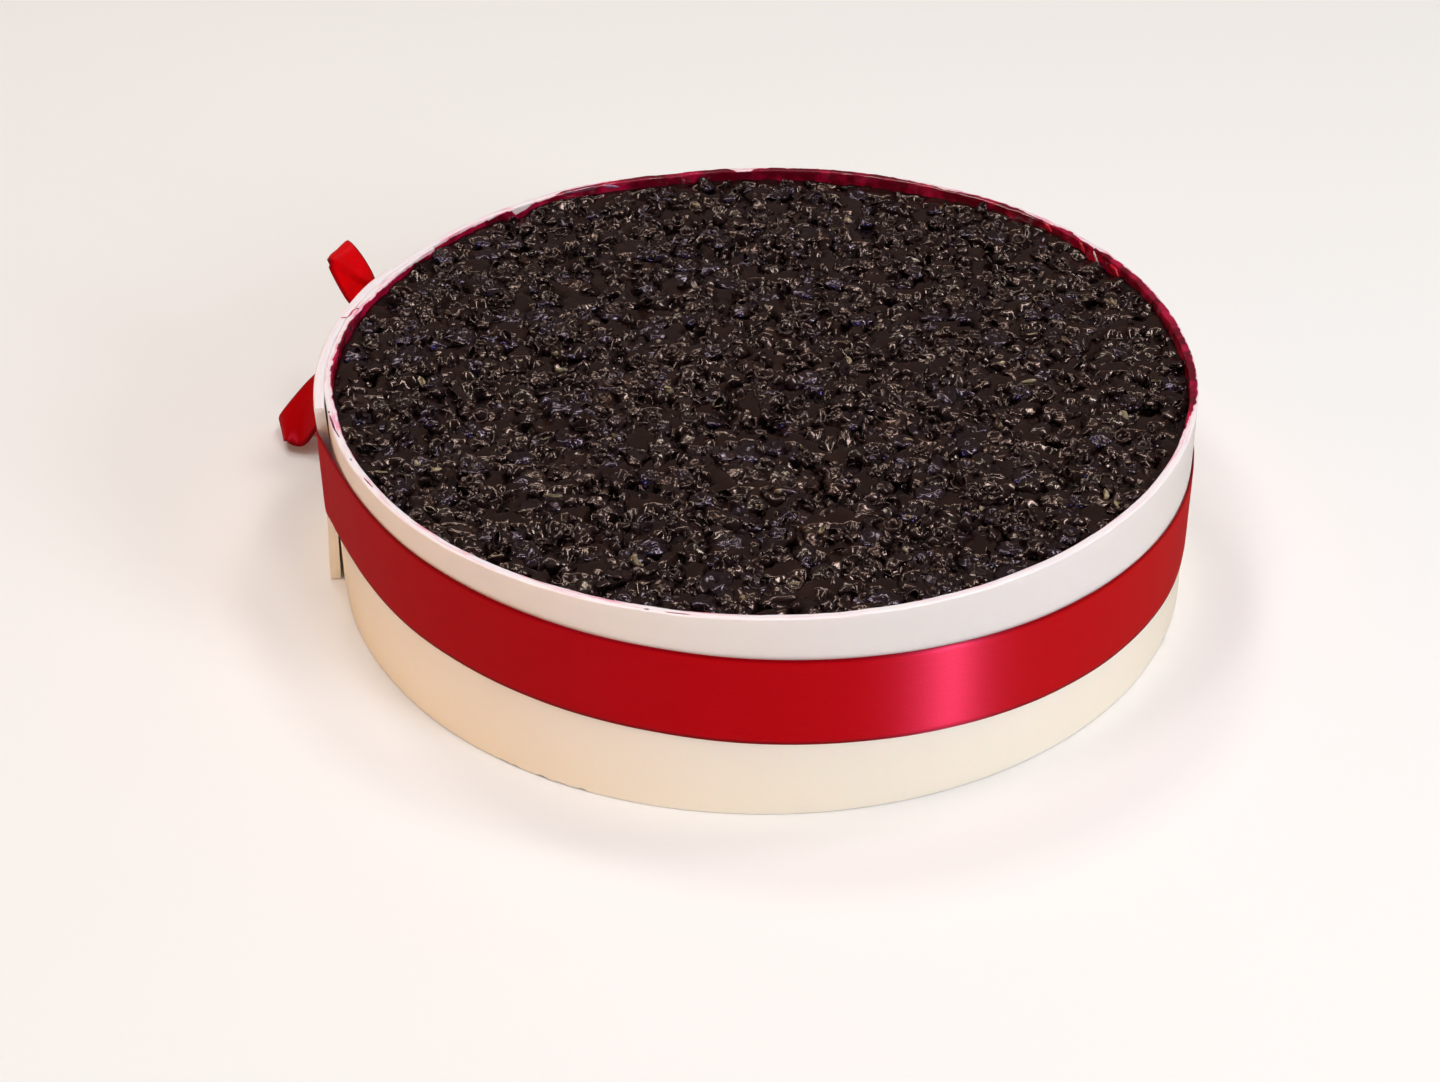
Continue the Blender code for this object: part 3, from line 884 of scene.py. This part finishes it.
def scatter(name, material, shapes, spots, jelly, radii):
    """Joins copies of shapes at spots, each (shape, rotation, sizes, place, tone), into one piece.

    A shape is its points, its triangles and how much of the tone each point takes. The faces
    sunk in jelly are left out. What would run into the collar's wall is pressed flat against it.
    """
    vertices = []
    triangles = []
    tones = []
    start = 0
    for shape, rotation, sizes, place, tone in spots:
        points, faces, shares = shapes[shape]
        points = (points @ np.array(rotation).T) * np.array(sizes) + np.array(place)
        bare = points[:, 2] > jelly.at(points[:, 0], points[:, 1]) - SUNK_DEPTH
        kept = faces[bare[faces].any(axis=1)]
        used = np.unique(kept)
        if len(used) == 0:
            continue
        renumber = np.zeros(len(points), int)
        renumber[used] = np.arange(len(used)) + start
        vertices.append(points[used])
        triangles.append(renumber[kept])
        tones.append(tone * shares[used])
        start += len(used)
    vertices = np.concatenate(vertices)
    degrees = np.degrees(np.arctan2(vertices[:, 1], vertices[:, 0])) % 360
    limit = np.interp(degrees, FULL_TURN, radii) - 0.05 * MM
    inside = np.minimum(1, limit / np.hypot(vertices[:, 0], vertices[:, 1]))
    vertices[:, :2] *= inside[:, None]
    piece = make_piece(name, vertices.tolist(), np.concatenate(triangles).tolist(), material, "berry_jelly")
    store_values(piece.data, "tone", np.concatenate(tones))


def random_turn(rng, most_tilt):
    """Rotation that tips +Z by up to most_tilt radians, any way round."""
    tip = Euler((rng.uniform(0, most_tilt), 0, 0), "XYZ").to_matrix()
    spin = Matrix.Rotation(rng.uniform(0, 2 * math.pi), 3, "Z")
    return spin @ tip @ Matrix.Rotation(rng.uniform(0, 2 * math.pi), 3, "Z")


BERRY_POINTS = 260
SHAPES_PER_KIND = 12
# Berries keep this far from the wall, and what is this deep in the jelly is left out
CLEAR_OF_WALL = 2.0 * MM
SUNK_DEPTH = 0.35 * MM
# The jelly's mesh has this many cells each way and runs a little into the wall
JELLY_CELLS = 290
INTO_WALL = 0.15 * MM
MAP_STEP = 0.6 * MM
SKIN_GLINT = "#FFE8E0"
# The dried crown's rings from its foot over its lip and back: radius, height, share of the tone; the lip's
# full share paints it tan, partly as a painted glint
CROWN_ROWS = ((0.86, -0.5, 0.2), (0.8, -0.1, 0.3), (0.98, 0.42, 1.0), (1.12, 0.36, 0.9), (1.02, -0.5, 0.2))
# Kinds of berry: name, share of the places, dents, folds, dimple, flatness, most tilt, size, rise
# in mm, tint of the skin's shine
BERRY_KINDS = (
    ("plump_berries", 0.16, 0.18, 0.12, 0.35, 0.70, 1.0, 0.90, 0.2, "#FFF0E4"),
    ("sunken_berries", 0.38, 0.30, 0.26, 0.75, 0.48, 0.7, 1.05, 0.0, "#E2D6F6"),
    ("crushed_berries", 0.46, 0.60, 0.42, 0.20, 0.50, 1.5, 1.05, 0.0, "#FFE4DA"),
)


class CAKE_OT_topping(bpy.types.Operator):
    """Build the jelly, the crushed blueberries in it, their crowns and their torn skins"""

    bl_idname = "cake.topping"
    bl_label = "Blueberry Topping"

    def execute(self, context):
        settings = context.scene.cake_topping
        rng = random.Random(settings.seed)
        # Without a seed of its own, noise_vector follows the clock
        noise.seed_set(settings.seed)
        radii = wall_radius(context.scene.cake_collar.thickness)
        places = heap_places(settings, radii, rng)
        rng.shuffle(places)
        jelly = JellyMap(settings, radii)
        crowns = []
        taken = 0
        for kind in BERRY_KINDS:
            count = round(kind[1] * len(places))
            crowns += self.build_berries(kind, places[taken : taken + count], settings, rng, radii, jelly)
            taken += count
        self.build_crowns(crowns, settings, rng, radii, jelly)
        scraps = heap_places(settings, radii, rng) + heap_places(settings, radii, rng)
        self.build_skins(scraps, settings, rng, radii, jelly)
        self.build_jelly(settings, radii)
        return {"FINISHED"}

    def build_berries(self, kind, places, settings, rng, radii, jelly):
        """Builds one kind of berry and returns the crowns that go on them."""
        name, _, dents, folds, dimple, flatness, most_tilt, size, rise, glint = kind
        points, faces = sphere_points(BERRY_POINTS)
        even = np.ones(len(points))
        shapes = []
        for _ in range(SHAPES_PER_KIND):
            shapes.append((berry_shape(points, rng.random() * 50, dents, folds, dimple), faces, even))
        spots = []
        crowns = []
        for x, y in places:
            covered = covered_share(x, y)
            if covered > 0.8 or rng.random() < 0.05:
                continue
            radius = settings.berry_radius * size * rng.uniform(0.78, 1.18)
            flat = flatness * rng.uniform(0.85, 1.15)
            sizes = (radius * rng.uniform(0.85, 1.15), radius * rng.uniform(0.85, 1.15), radius * flat)
            out = (1 - covered) * (rng.uniform(0.2, 1.5) + rise) * MM
            top = settings.pool_level + out - covered * 0.2 * MM + edge_rise(x, y, radii)
            centre = Vector((x, y, top - radius * flat))
            turn = random_turn(rng, most_tilt)
            spots.append((rng.randrange(SHAPES_PER_KIND), turn, sizes, centre, 0.6 * rng.random()))
            axis = turn @ Vector((0, 0, 1))
            if axis.z > 0.6 and rng.random() < 0.6:
                foot = centre + Vector([a * b for a, b in zip(axis, sizes)]) * (1 - 0.75 * dimple)
                crowns.append((foot, turn, radius))
        material = stewed_berry_skin(settings, "stewed_skin_" + name, 0.34, 0.21, glint)
        scatter(name, material, shapes, spots, jelly, radii)
        return crowns

    def build_crowns(self, crowns, settings, rng, radii, jelly):
        shapes = [crown_shape(rng.randrange(1000), 15) for _ in range(SHAPES_PER_KIND)]
        spots = []
        for foot, turn, radius in crowns:
            size = radius * rng.uniform(0.36, 0.52)
            shape = rng.randrange(SHAPES_PER_KIND)
            spots.append((shape, turn, (size, size, size), foot, rng.uniform(0.2, 0.85)))
        material = stewed_berry_skin(settings, "dried_crown", 0.2, 0.3, SKIN_GLINT)
        scatter("berry_crowns", material, shapes, spots, jelly, radii)

    def build_skins(self, places, settings, rng, radii, jelly):
        shapes = [skin_shape(rng.randrange(1000), 3, 8) for _ in range(SHAPES_PER_KIND * 2)]
        rng.shuffle(places)
        spots = []
        for x, y in places:
            covered = covered_share(x, y)
            if rng.random() < (0.7 if covered > 0.9 else 0.25):
                continue
            radius = rng.uniform(1.0, 2.6) * MM
            sizes = (radius, radius, radius)
            tone = rng.random() ** 2
            if rng.random() < 0.07:
                radius = rng.uniform(0.7, 1.4) * MM
                sizes = (2.2 * radius, 0.8 * radius, radius)
                tone = 1.25
            out = (rng.uniform(-0.3, 1.2) - covered * 0.9) * MM
            height = settings.pool_level + out + edge_rise(x, y, radii)
            turn = random_turn(rng, 2.6)
            spots.append((rng.randrange(SHAPES_PER_KIND * 2), turn, sizes, (x, y, height), tone))
        material = stewed_berry_skin(settings, "torn_skin", 0.3, 0.24, SKIN_GLINT)
        scatter("torn_skins", material, shapes, spots, jelly, radii)

    def build_jelly(self, settings, radii):
        """The jelly: level pools over the berries, lower and uneven between bare ones."""
        cells = JELLY_CELLS
        line = np.linspace(-1, 1, cells + 1)
        u, v = np.meshgrid(line, line)
        wide = np.abs(u) > np.abs(v)
        reach = np.where(wide, u, v)
        safe = np.where(reach == 0, 1, reach)
        angle = np.where(wide, math.pi / 4 * v / safe, math.pi / 2 - math.pi / 4 * u / safe)
        x = reach * np.cos(angle)
        y = reach * np.sin(angle)
        degrees = np.degrees(np.arctan2(y, x)) % 360
        scale = np.interp(degrees, FULL_TURN, radii) + INTO_WALL
        vertices = []
        covers = []
        for px, py in zip((x * scale).ravel(), (y * scale).ravel()):
            height, covered = jelly_surface(settings, px, py, radii)
            vertices.append((px, py, height))
            covers.append(covered)
        faces = turned_over(grid_faces(cells, cells))
        row = cells + 1
        rim = list(range(row))
        rim += [i * row + cells for i in range(1, row)]
        rim += [cells * row + i for i in range(cells - 1, -1, -1)]
        rim += [i * row for i in range(cells - 1, 0, -1)]
        foot_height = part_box("topping")[0].z
        start = len(vertices)
        vertices += [(vertices[i][0], vertices[i][1], foot_height) for i in rim]
        covers += [0] * len(rim)
        for i in range(len(rim)):
            j = (i + 1) % len(rim)
            faces.append((rim[j], rim[i], start + i, start + j))
        faces.append(tuple(start + i for i in reversed(range(len(rim)))))
        piece = make_piece("jelly", vertices, faces, set_berry_jelly(settings), "berry_jelly", ("topping",))
        store_values(piece.data, "covered", covers)


def ribbon_middle(degrees):
    angle = math.radians(degrees)
    return RIBBON_MIDDLE - RIBBON_RISE_LEFT * math.cos(angle) - RIBBON_RISE_FRONT * math.sin(angle)


def frame_radii(node):
    """Outer radius of a CAD ring at each whole degree, read from its corners."""
    by_angle = {}
    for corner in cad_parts[node].data.vertices:
        key = round(math.degrees(math.atan2(corner.co.y, corner.co.x)) % 360)
        by_angle[key] = max(by_angle.get(key, 0), corner.co.xy.length)
    angles = sorted(by_angle)
    return np.interp(FULL_TURN, angles, [by_angle[key] for key in angles], period=360)


def uv_strip(mesh, coordinates):
    """Stores (along, across) in metres as the ribbon's UV map."""
    layer = mesh.uv_layers.new(name="ribbon")
    for loop in mesh.loops:
        layer.data[loop.index].uv = coordinates[loop.vertex_index]


def solidify(piece, thickness):
    modifier = piece.modifiers.new("ribbon", "SOLIDIFY")
    modifier.thickness = thickness
    modifier.offset = 0


def make_ribbon(name, node, grid, vertices, coordinates, material, thickness):
    """A strip of satin in a node's place, from a grid of points and where each is on the flat ribbon."""
    piece = make_piece(name, vertices, grid_faces(*grid), material, "red_satin", (node,))
    uv_strip(piece.data, coordinates)
    solidify(piece, thickness)
    return piece


class CAKE_OT_ribbon_band(bpy.types.Operator):
    """Build the band of satin ribbon round the collar"""

    bl_idname = "cake.ribbon_band"
    bl_label = "Ribbon Band"

    def execute(self, context):
        settings = context.scene.cake_ribbon
        radii = frame_radii("ribbon_band")
        steps = 480
        across = 16
        vertices = []
        coordinates = []
        travelled = 0
        previous = None
        for step in range(steps + 1):
            degrees = (BOW_ANGLE + 360 * step / steps) % 360
            radius = float(np.interp(degrees, FULL_TURN, radii)) - settings.thickness / 2
            radius -= 0.9 * MM * math.exp(-(((degrees - 190) / 7) ** 2))
            near_bow = ease((degrees - 120) / 20) * ease((212 - degrees) / 12)
            radius -= 0.15 * MM * (1 - near_bow)
            middle = ribbon_middle(degrees)
            spot = polar(radius, degrees, 0)
            if previous is not None:
                travelled += (spot - previous).length
            previous = spot
            for i in range(across + 1):
                share = i / across
                z = middle + settings.width * (share - 0.5)
                edge = abs(share - 0.5) * 2
                out = 0.12 * MM * noise.noise(Vector((spot.x, spot.y, z * 0.5)) * 38)
                out -= 0.10 * MM * ease((edge - 0.9) / 0.1)
                vertices.append(polar(radius + out, degrees, z + 0.10 * MM * noise.noise(spot * 60)))
                coordinates.append((travelled, settings.width * share))
        names = ("satin_band", "ribbon_band")
        look = (satin(context), settings.thickness)
        piece = make_ribbon(*names, (steps, across), vertices, coordinates, *look)
        return {"FINISHED"}


def satin(context):
    found = bpy.data.materials.get("polyester_satin")
    return found or polyester_satin(context.scene.cake_ribbon)


def bow_frame():
    """Matrix from the bow's (U, N, z) to the cake's frame, on the band's outer face."""
    angle = math.radians(BOW_ANGLE)
    out = Vector((math.cos(angle), math.sin(angle), 0))
    round_cake = Vector((-math.sin(angle), math.cos(angle), 0))
    reach = 0
    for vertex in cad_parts["ribbon_band"].data.vertices:
        degrees = math.degrees(math.atan2(vertex.co.y, vertex.co.x))
        if abs(degrees - BOW_ANGLE) <= 6.5:
            reach = max(reach, vertex.co.dot(out))
    matrix = Matrix((round_cake, out, (0, 0, 1))).transposed().to_4x4()
    matrix.translation = out * reach
    return matrix


def crease_height(crease, place, share):
    """Height of a crease's step at a place on a loop: sharp on one side and smoothed out on the other."""
    (place_a, share_a), (place_b, share_b), height = crease
    along_a = Vector((place_a * STATION_MM, share_a * FOLDED_MM))
    along_b = Vector((place_b * STATION_MM, share_b * FOLDED_MM))
    run = along_b - along_a
    here = Vector((place * STATION_MM, share * FOLDED_MM)) - along_a
    share_along = here.dot(run) / run.length_squared
    off = (here.x * run.y - here.y * run.x) / run.length
    ends = ease(share_along * 5 + 0.5) * ease((1 - share_along) * 5 + 0.5)
    return height * ends * ease(off / 0.7 + 0.5) * math.exp(-max(0.0, off) / 3)


def strip_length(stations):
    middles = [(Vector(near) + Vector(far)) / 2 * MM for near, far in stations]
    return sum((b - a).length for a, b in zip(middles, middles[1:]))


def edges_at(stations, place):
    """The folded ribbon's two edges at a place on its line of stations."""
    return [blend_points([station[side] for station in stations], place) for side in (0, 1)]


class CAKE_OT_bow(bpy.types.Operator):
    """Build the bow: two folded loops, two tails and the knot"""

    bl_idname = "cake.bow"
    bl_label = "Satin Bow"

    def execute(self, context):
        settings = context.scene.cake_ribbon
        matrix = bow_frame()
        material = satin(context)
        self.build_loop("upper", LOOP_UPPER, UPPER_CREASES, settings, material, matrix)
        self.build_loop("lower", LOOP_LOWER, LOWER_CREASES, settings, material, matrix)
        self.build_tail("front", TAIL_FRONT, settings, material, matrix)
        self.build_tail("back", TAIL_BACK, settings, material, matrix)
        self.build_knot(settings, material, matrix)
        return {"FINISHED"}

    def build_loop(self, side, stations, creases, settings, material, matrix):
        """A loop of ribbon folded lengthwise: the fold is its far edge, and the two halves lie close."""
        last = len(stations) - 1
        steps = last * 14
        half = 16
        vertices = []
        coordinates = []
        length = strip_length(stations)
        for step in range(steps + 1):
            place = step / steps * last
            near, far = [edge * MM for edge in edges_at(stations, place)]
            ahead = min(place + 0.05, last)
            run = edges_at(stations, ahead)[0] - edges_at(stations, ahead - 0.1)[0]
            across = far - near
            normal = across.cross(run).normalized()
            gather = 1 - ease(min(step, steps - step) / steps / 0.22)
            for i in range(2 * half + 1):
                share = i / half if i <= half else (2 * half - i) / half
                half_side = 1 if i < half else -1 if i > half else 0
                gap = half_side * 0.35 * MM * math.sqrt(max(0.0, 1 - share**2))
                pleat = 0.45 * MM * gather * math.sin(share * math.pi * 5)
                crumple = 0.35 * MM * noise.noise((near + across * share) * 130) * (1 - gather)
                tuck = sum(crease_height(crease, place, share) for crease in creases) * MM
                point = near + across * share + normal * (gap + pleat + crumple + tuck)
                vertices.append(matrix @ point)
                coordinates.append((length * step / steps, settings.width * i / (2 * half)))
        names = ("satin_loop_" + side, "bow_loop_" + side)
        thickness = settings.thickness * THIN_SATIN
        piece = make_ribbon(*names, (steps, 2 * half), vertices, coordinates, material, thickness)

    def build_tail(self, side, stations, settings, material, matrix):
        last = len(stations) - 1
        steps = last * 10
        across_steps = 24
        vertices = []
        coordinates = []
        length = strip_length(stations)
        for step in range(steps + 1):
            near, far = [edge * MM for edge in edges_at(stations, step / steps * last)]
            gather = 1 - ease(step / steps / 0.7)
            for i in range(across_steps + 1):
                share = i / across_steps
                point = near.lerp(far, share)
                out = 0.7 * MM * gather * math.sin(share * math.pi * 6)
                out += 0.5 * MM * noise.noise(point * 90) * (1 - gather)
                point.y += out
                vertices.append(matrix @ point)
                coordinates.append((length * step / steps, settings.width * share))
        names = ("satin_tail_" + side, "bow_tail_" + side)
        thickness = settings.thickness * THIN_SATIN
        piece = make_ribbon(*names, (steps, across_steps), vertices, coordinates, material, thickness)

    def build_knot(self, settings, material, matrix):
        """The ribbon's turn round the middle of the bow: a soft pillow with pleats running across."""
        low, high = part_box("ribbon_knot")
        wide, deep, tall = KNOT_SIZE
        middle = Vector((0, 0.3 * MM + deep / 2, (low.z + high.z) / 2))
        around = 48
        levels = 30
        vertices = []
        coordinates = []
        for level in range(levels + 1):
            share = level / levels
            z = tall * (share - 0.5)
            swell = 0.72 + 0.28 * math.sin(math.pi * share) ** 0.7
            pleat = 0.035 * math.sin(share * math.pi * 9) * math.sin(math.pi * share)
            grow = swell * (1 + pleat)
            for i in range(around):
                angle = 2 * math.pi * i / around
                cos = math.copysign(abs(math.cos(angle)) ** KNOT_ROUNDING, math.cos(angle))
                sin = math.copysign(abs(math.sin(angle)) ** KNOT_ROUNDING, math.sin(angle))
                point = middle + Vector((cos * wide / 2 * grow, sin * deep / 2 * min(1, grow), z))
                vertices.append(matrix @ point)
                coordinates.append((z, settings.width * i / around))
        faces = grid_faces(levels, around, closed=True)
        faces.append(tuple(range(around)))
        faces.append(tuple(reversed(range(levels * around, (levels + 1) * around))))
        piece = make_piece("satin_knot", vertices, faces, material, "red_satin", ("ribbon_knot",))
        uv_strip(piece.data, coordinates)


class CAKE_OT_body(bpy.types.Operator):
    """Give the cake's body its sponge"""

    bl_idname = "cake.body"
    bl_label = "Cake Body"

    def execute(self, context):
        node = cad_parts["cake_body"]
        node.data.materials.clear()
        node.data.materials.append(baked_sponge())
        return {"FINISHED"}


# Studio lamps: name, degrees right of the camera, elevation, distance, width, height, watts, colour,
# whether it lights the surfaces, whether it shows in their gloss, and the finishes or pieces that
# it is aimed at
LAMPS = (
    ("key", 51, 24, 1.6, 0.4, 0.7, 10.4, "#ECF5FF", True, False, ()),
    ("front", 8, 40, 1.7, 0.9, 0.9, 2.0, "#F4F4FF", True, False, ()),
    ("fill", -80, 18, 1.5, 1.4, 0.7, 3.5, "#FFB464", True, False, ()),
    ("wall", -60, 30, 1.5, 1.0, 0.6, 5.2, "#FFB040", True, False, ("white_chocolate",)),
    ("side", 100, 16, 1.5, 0.4, 0.4, 2.5, "#FFC080", True, False, ("white_chocolate",)),
    ("strip", 44.5, 5, 1.6, 0.17, 0.24, 56.0, "#FFF6FA", False, True, ("satin_band",)),
    ("ribbon", 62, 25, 1.6, 0.5, 0.5, 1.8, "#FFF6F2", True, False, ("satin_band",)),
    ("top_left", -70, 70, 1.7, 0.3, 0.3, 4.2, "#FFF9F2", True, True, ()),
    ("top_right", 35, 62, 1.7, 0.3, 0.3, 4.2, "#FFF9F2", True, False, ()),
    ("top_back", 120, 68, 1.7, 0.3, 0.3, 4.2, "#FFF6EC", True, False, ()),
    ("top_far", -150, 64, 1.7, 0.3, 0.3, 4.2, "#FFF6EC", True, True, ()),
    ("tube_left", -75, 42, 1.4, 0.09, 1.5, 11.2, "#FFF7F2", False, True, ("berry_jelly", "white_chocolate")),
    ("tube_right", 55, 46, 1.4, 0.09, 1.2, 23.0, "#FFF7F2", False, True, ("berry_jelly", "white_chocolate")),
    ("tube_back", 175, 72, 1.5, 1.5, 0.09, 8.5, "#FFEBD8", False, True, ("berry_jelly", "white_chocolate")),
    ("rim", 0, 88, 1.6, 0.5, 0.5, 8.0, "#A0C7FF", True, False, ("white_chocolate",)),
    ("bow", -15, 52, 1.6, 0.4, 0.4, 12.0, "#FFF6F0", True, False, ("satin_loop_upper",)),
    ("blue", -15, 13, 1.5, 0.3, 0.3, 17.0, "#9E98FF", False, True, ("sunken_berries",)),
)
LAMP_AIM_HEIGHT = 0.04
# Even light on the floor alone
WASH_STRENGTH = 0.66
WASH_ANGLE = 67
WASH_COLOUR = "#EAF4FF"
FLOOR_HALF = 8.0
FLOOR_DROP = 0.2 * MM


class CAKE_OT_stage(bpy.types.Operator):
    """Set up the camera, the floor and the studio light"""

    bl_idname = "cake.stage"
    bl_label = "Studio Stage"

    def execute(self, context):
        settings = context.scene.cake_stage
        self.add_camera(context, settings)
        self.add_lights(context, settings)
        self.add_floor(context, settings)
        context.scene.view_settings.view_transform = "Standard"
        return {"FINISHED"}

    def add_camera(self, context, settings):
        forward = Vector((0, math.cos(settings.elevation), -math.sin(settings.elevation)))
        right = Vector((1, 0, 0))
        up = right.cross(forward)
        panned = forward * math.cos(settings.pan) + right * math.sin(settings.pan)
        panned_right = right * math.cos(settings.pan) - forward * math.sin(settings.pan)
        aim = panned * math.cos(settings.tilt) + up * math.sin(settings.tilt)
        aim_up = up * math.cos(settings.tilt) - panned * math.sin(settings.tilt)
        data = bpy.data.cameras.new("camera")
        data.lens = settings.lens
        data.sensor_width = 36
        camera = bpy.data.objects.new("camera", data)
        camera.matrix_world = Matrix((panned_right, aim_up, -aim)).transposed().to_4x4()
        camera.location = -forward * settings.distance
        context.scene.collection.objects.link(camera)
        context.scene.camera = camera

    def add_floor(self, context, settings):
        corners = [(x * FLOOR_HALF, y * FLOOR_HALF, 0) for x, y in ((-1, -1), (1, -1), (1, 1), (-1, 1))]
        mesh = bpy.data.meshes.new("floor")
        mesh.from_pydata(corners, [], [(0, 1, 2, 3)])
        mesh.materials.append(matt_paper(settings))
        floor = bpy.data.objects.new("floor", mesh)
        floor.location.z = -FLOOR_DROP
        floor.visible_glossy = False
        context.scene.collection.objects.link(floor)
        bpy.data.collections["floor_wash"].objects.link(floor)

    def add_lights(self, context, settings):
        world = bpy.data.worlds.new("studio")
        world.use_nodes = True
        background = world.node_tree.nodes["Background"]
        background.inputs["Color"].default_value = (*settings.sky_colour, 1)
        background.inputs["Strength"].default_value = settings.sky_strength
        context.scene.world = world
        for name, azimuth, elevation, distance, width, height, watts, colour, lights, shows, aims in LAMPS:
            lamp = self.add_lamp(context, name, "AREA", watts, colour, lights, shows, aims)
            lamp.data.shape = "RECTANGLE"
            lamp.data.size = width
            lamp.data.size_y = height
            a = math.radians(azimuth)
            e = math.radians(elevation)
            back = Vector((math.sin(a) * math.cos(e), -math.cos(a) * math.cos(e), math.sin(e)))
            lamp.rotation_euler = (-back).to_track_quat("-Z", "Y").to_euler()
            lamp.location = back * distance + Vector((0, 0, LAMP_AIM_HEIGHT))
        even = (WASH_STRENGTH, WASH_COLOUR, True, False, ("floor",))
        wash = self.add_lamp(context, "floor_wash", "SUN", *even)
        wash.data.angle = math.radians(WASH_ANGLE)

    def add_lamp(self, context, name, kind, strength, colour, lights, shows, aims):
        """A lamp straight above the cake. One with aims lights only what is linked to its collection."""
        data = bpy.data.lights.new(name, kind)
        data.energy = strength
        data.color = linear(colour)
        lamp = bpy.data.objects.new(name, data)
        lamp.visible_diffuse = lights
        lamp.visible_glossy = shows
        context.scene.collection.objects.link(lamp)
        if aims:
            lamp.light_linking.receiver_collection = bpy.data.collections.new(name)
        return lamp


class CAKE_PT_sidebar(bpy.types.Panel):
    """Sizes, colours and build steps of the cake"""

    bl_idname = "CAKE_PT_sidebar"
    bl_label = "Blueberry Mousse Cake"
    bl_space_type = "VIEW_3D"
    bl_region_type = "UI"
    bl_category = "Cake"

    def draw(self, context):
        for group in SETTINGS:
            box = self.layout.box()
            for name in SETTINGS[group].__annotations__:
                box.prop(getattr(context.scene, group), name)
        for operator in OPERATORS:
            self.layout.operator(operator.bl_idname)


SETTINGS = {
    "cake_stage": StageSettings,
    "cake_collar": CollarSettings,
    "cake_topping": ToppingSettings,
    "cake_ribbon": RibbonSettings,
}
OPERATORS = (CAKE_OT_stage, CAKE_OT_body, CAKE_OT_collar, CAKE_OT_topping, CAKE_OT_ribbon_band, CAKE_OT_bow)


def register():
    for cls in (*SETTINGS.values(), *OPERATORS, CAKE_PT_sidebar):
        bpy.utils.register_class(cls)
    for name, cls in SETTINGS.items():
        setattr(bpy.types.Scene, name, PointerProperty(type=cls))


def unregister():
    for name in SETTINGS:
        delattr(bpy.types.Scene, name)
    for cls in (CAKE_PT_sidebar, *OPERATORS[::-1], *SETTINGS.values()):
        bpy.utils.unregister_class(cls)


def main():
    register()
    bpy.ops.cake.stage()
    bpy.ops.cake.body()
    bpy.ops.cake.collar()
    bpy.ops.cake.topping()
    bpy.ops.cake.ribbon_band()
    bpy.ops.cake.bow()


if __name__ == "__main__":
    main()
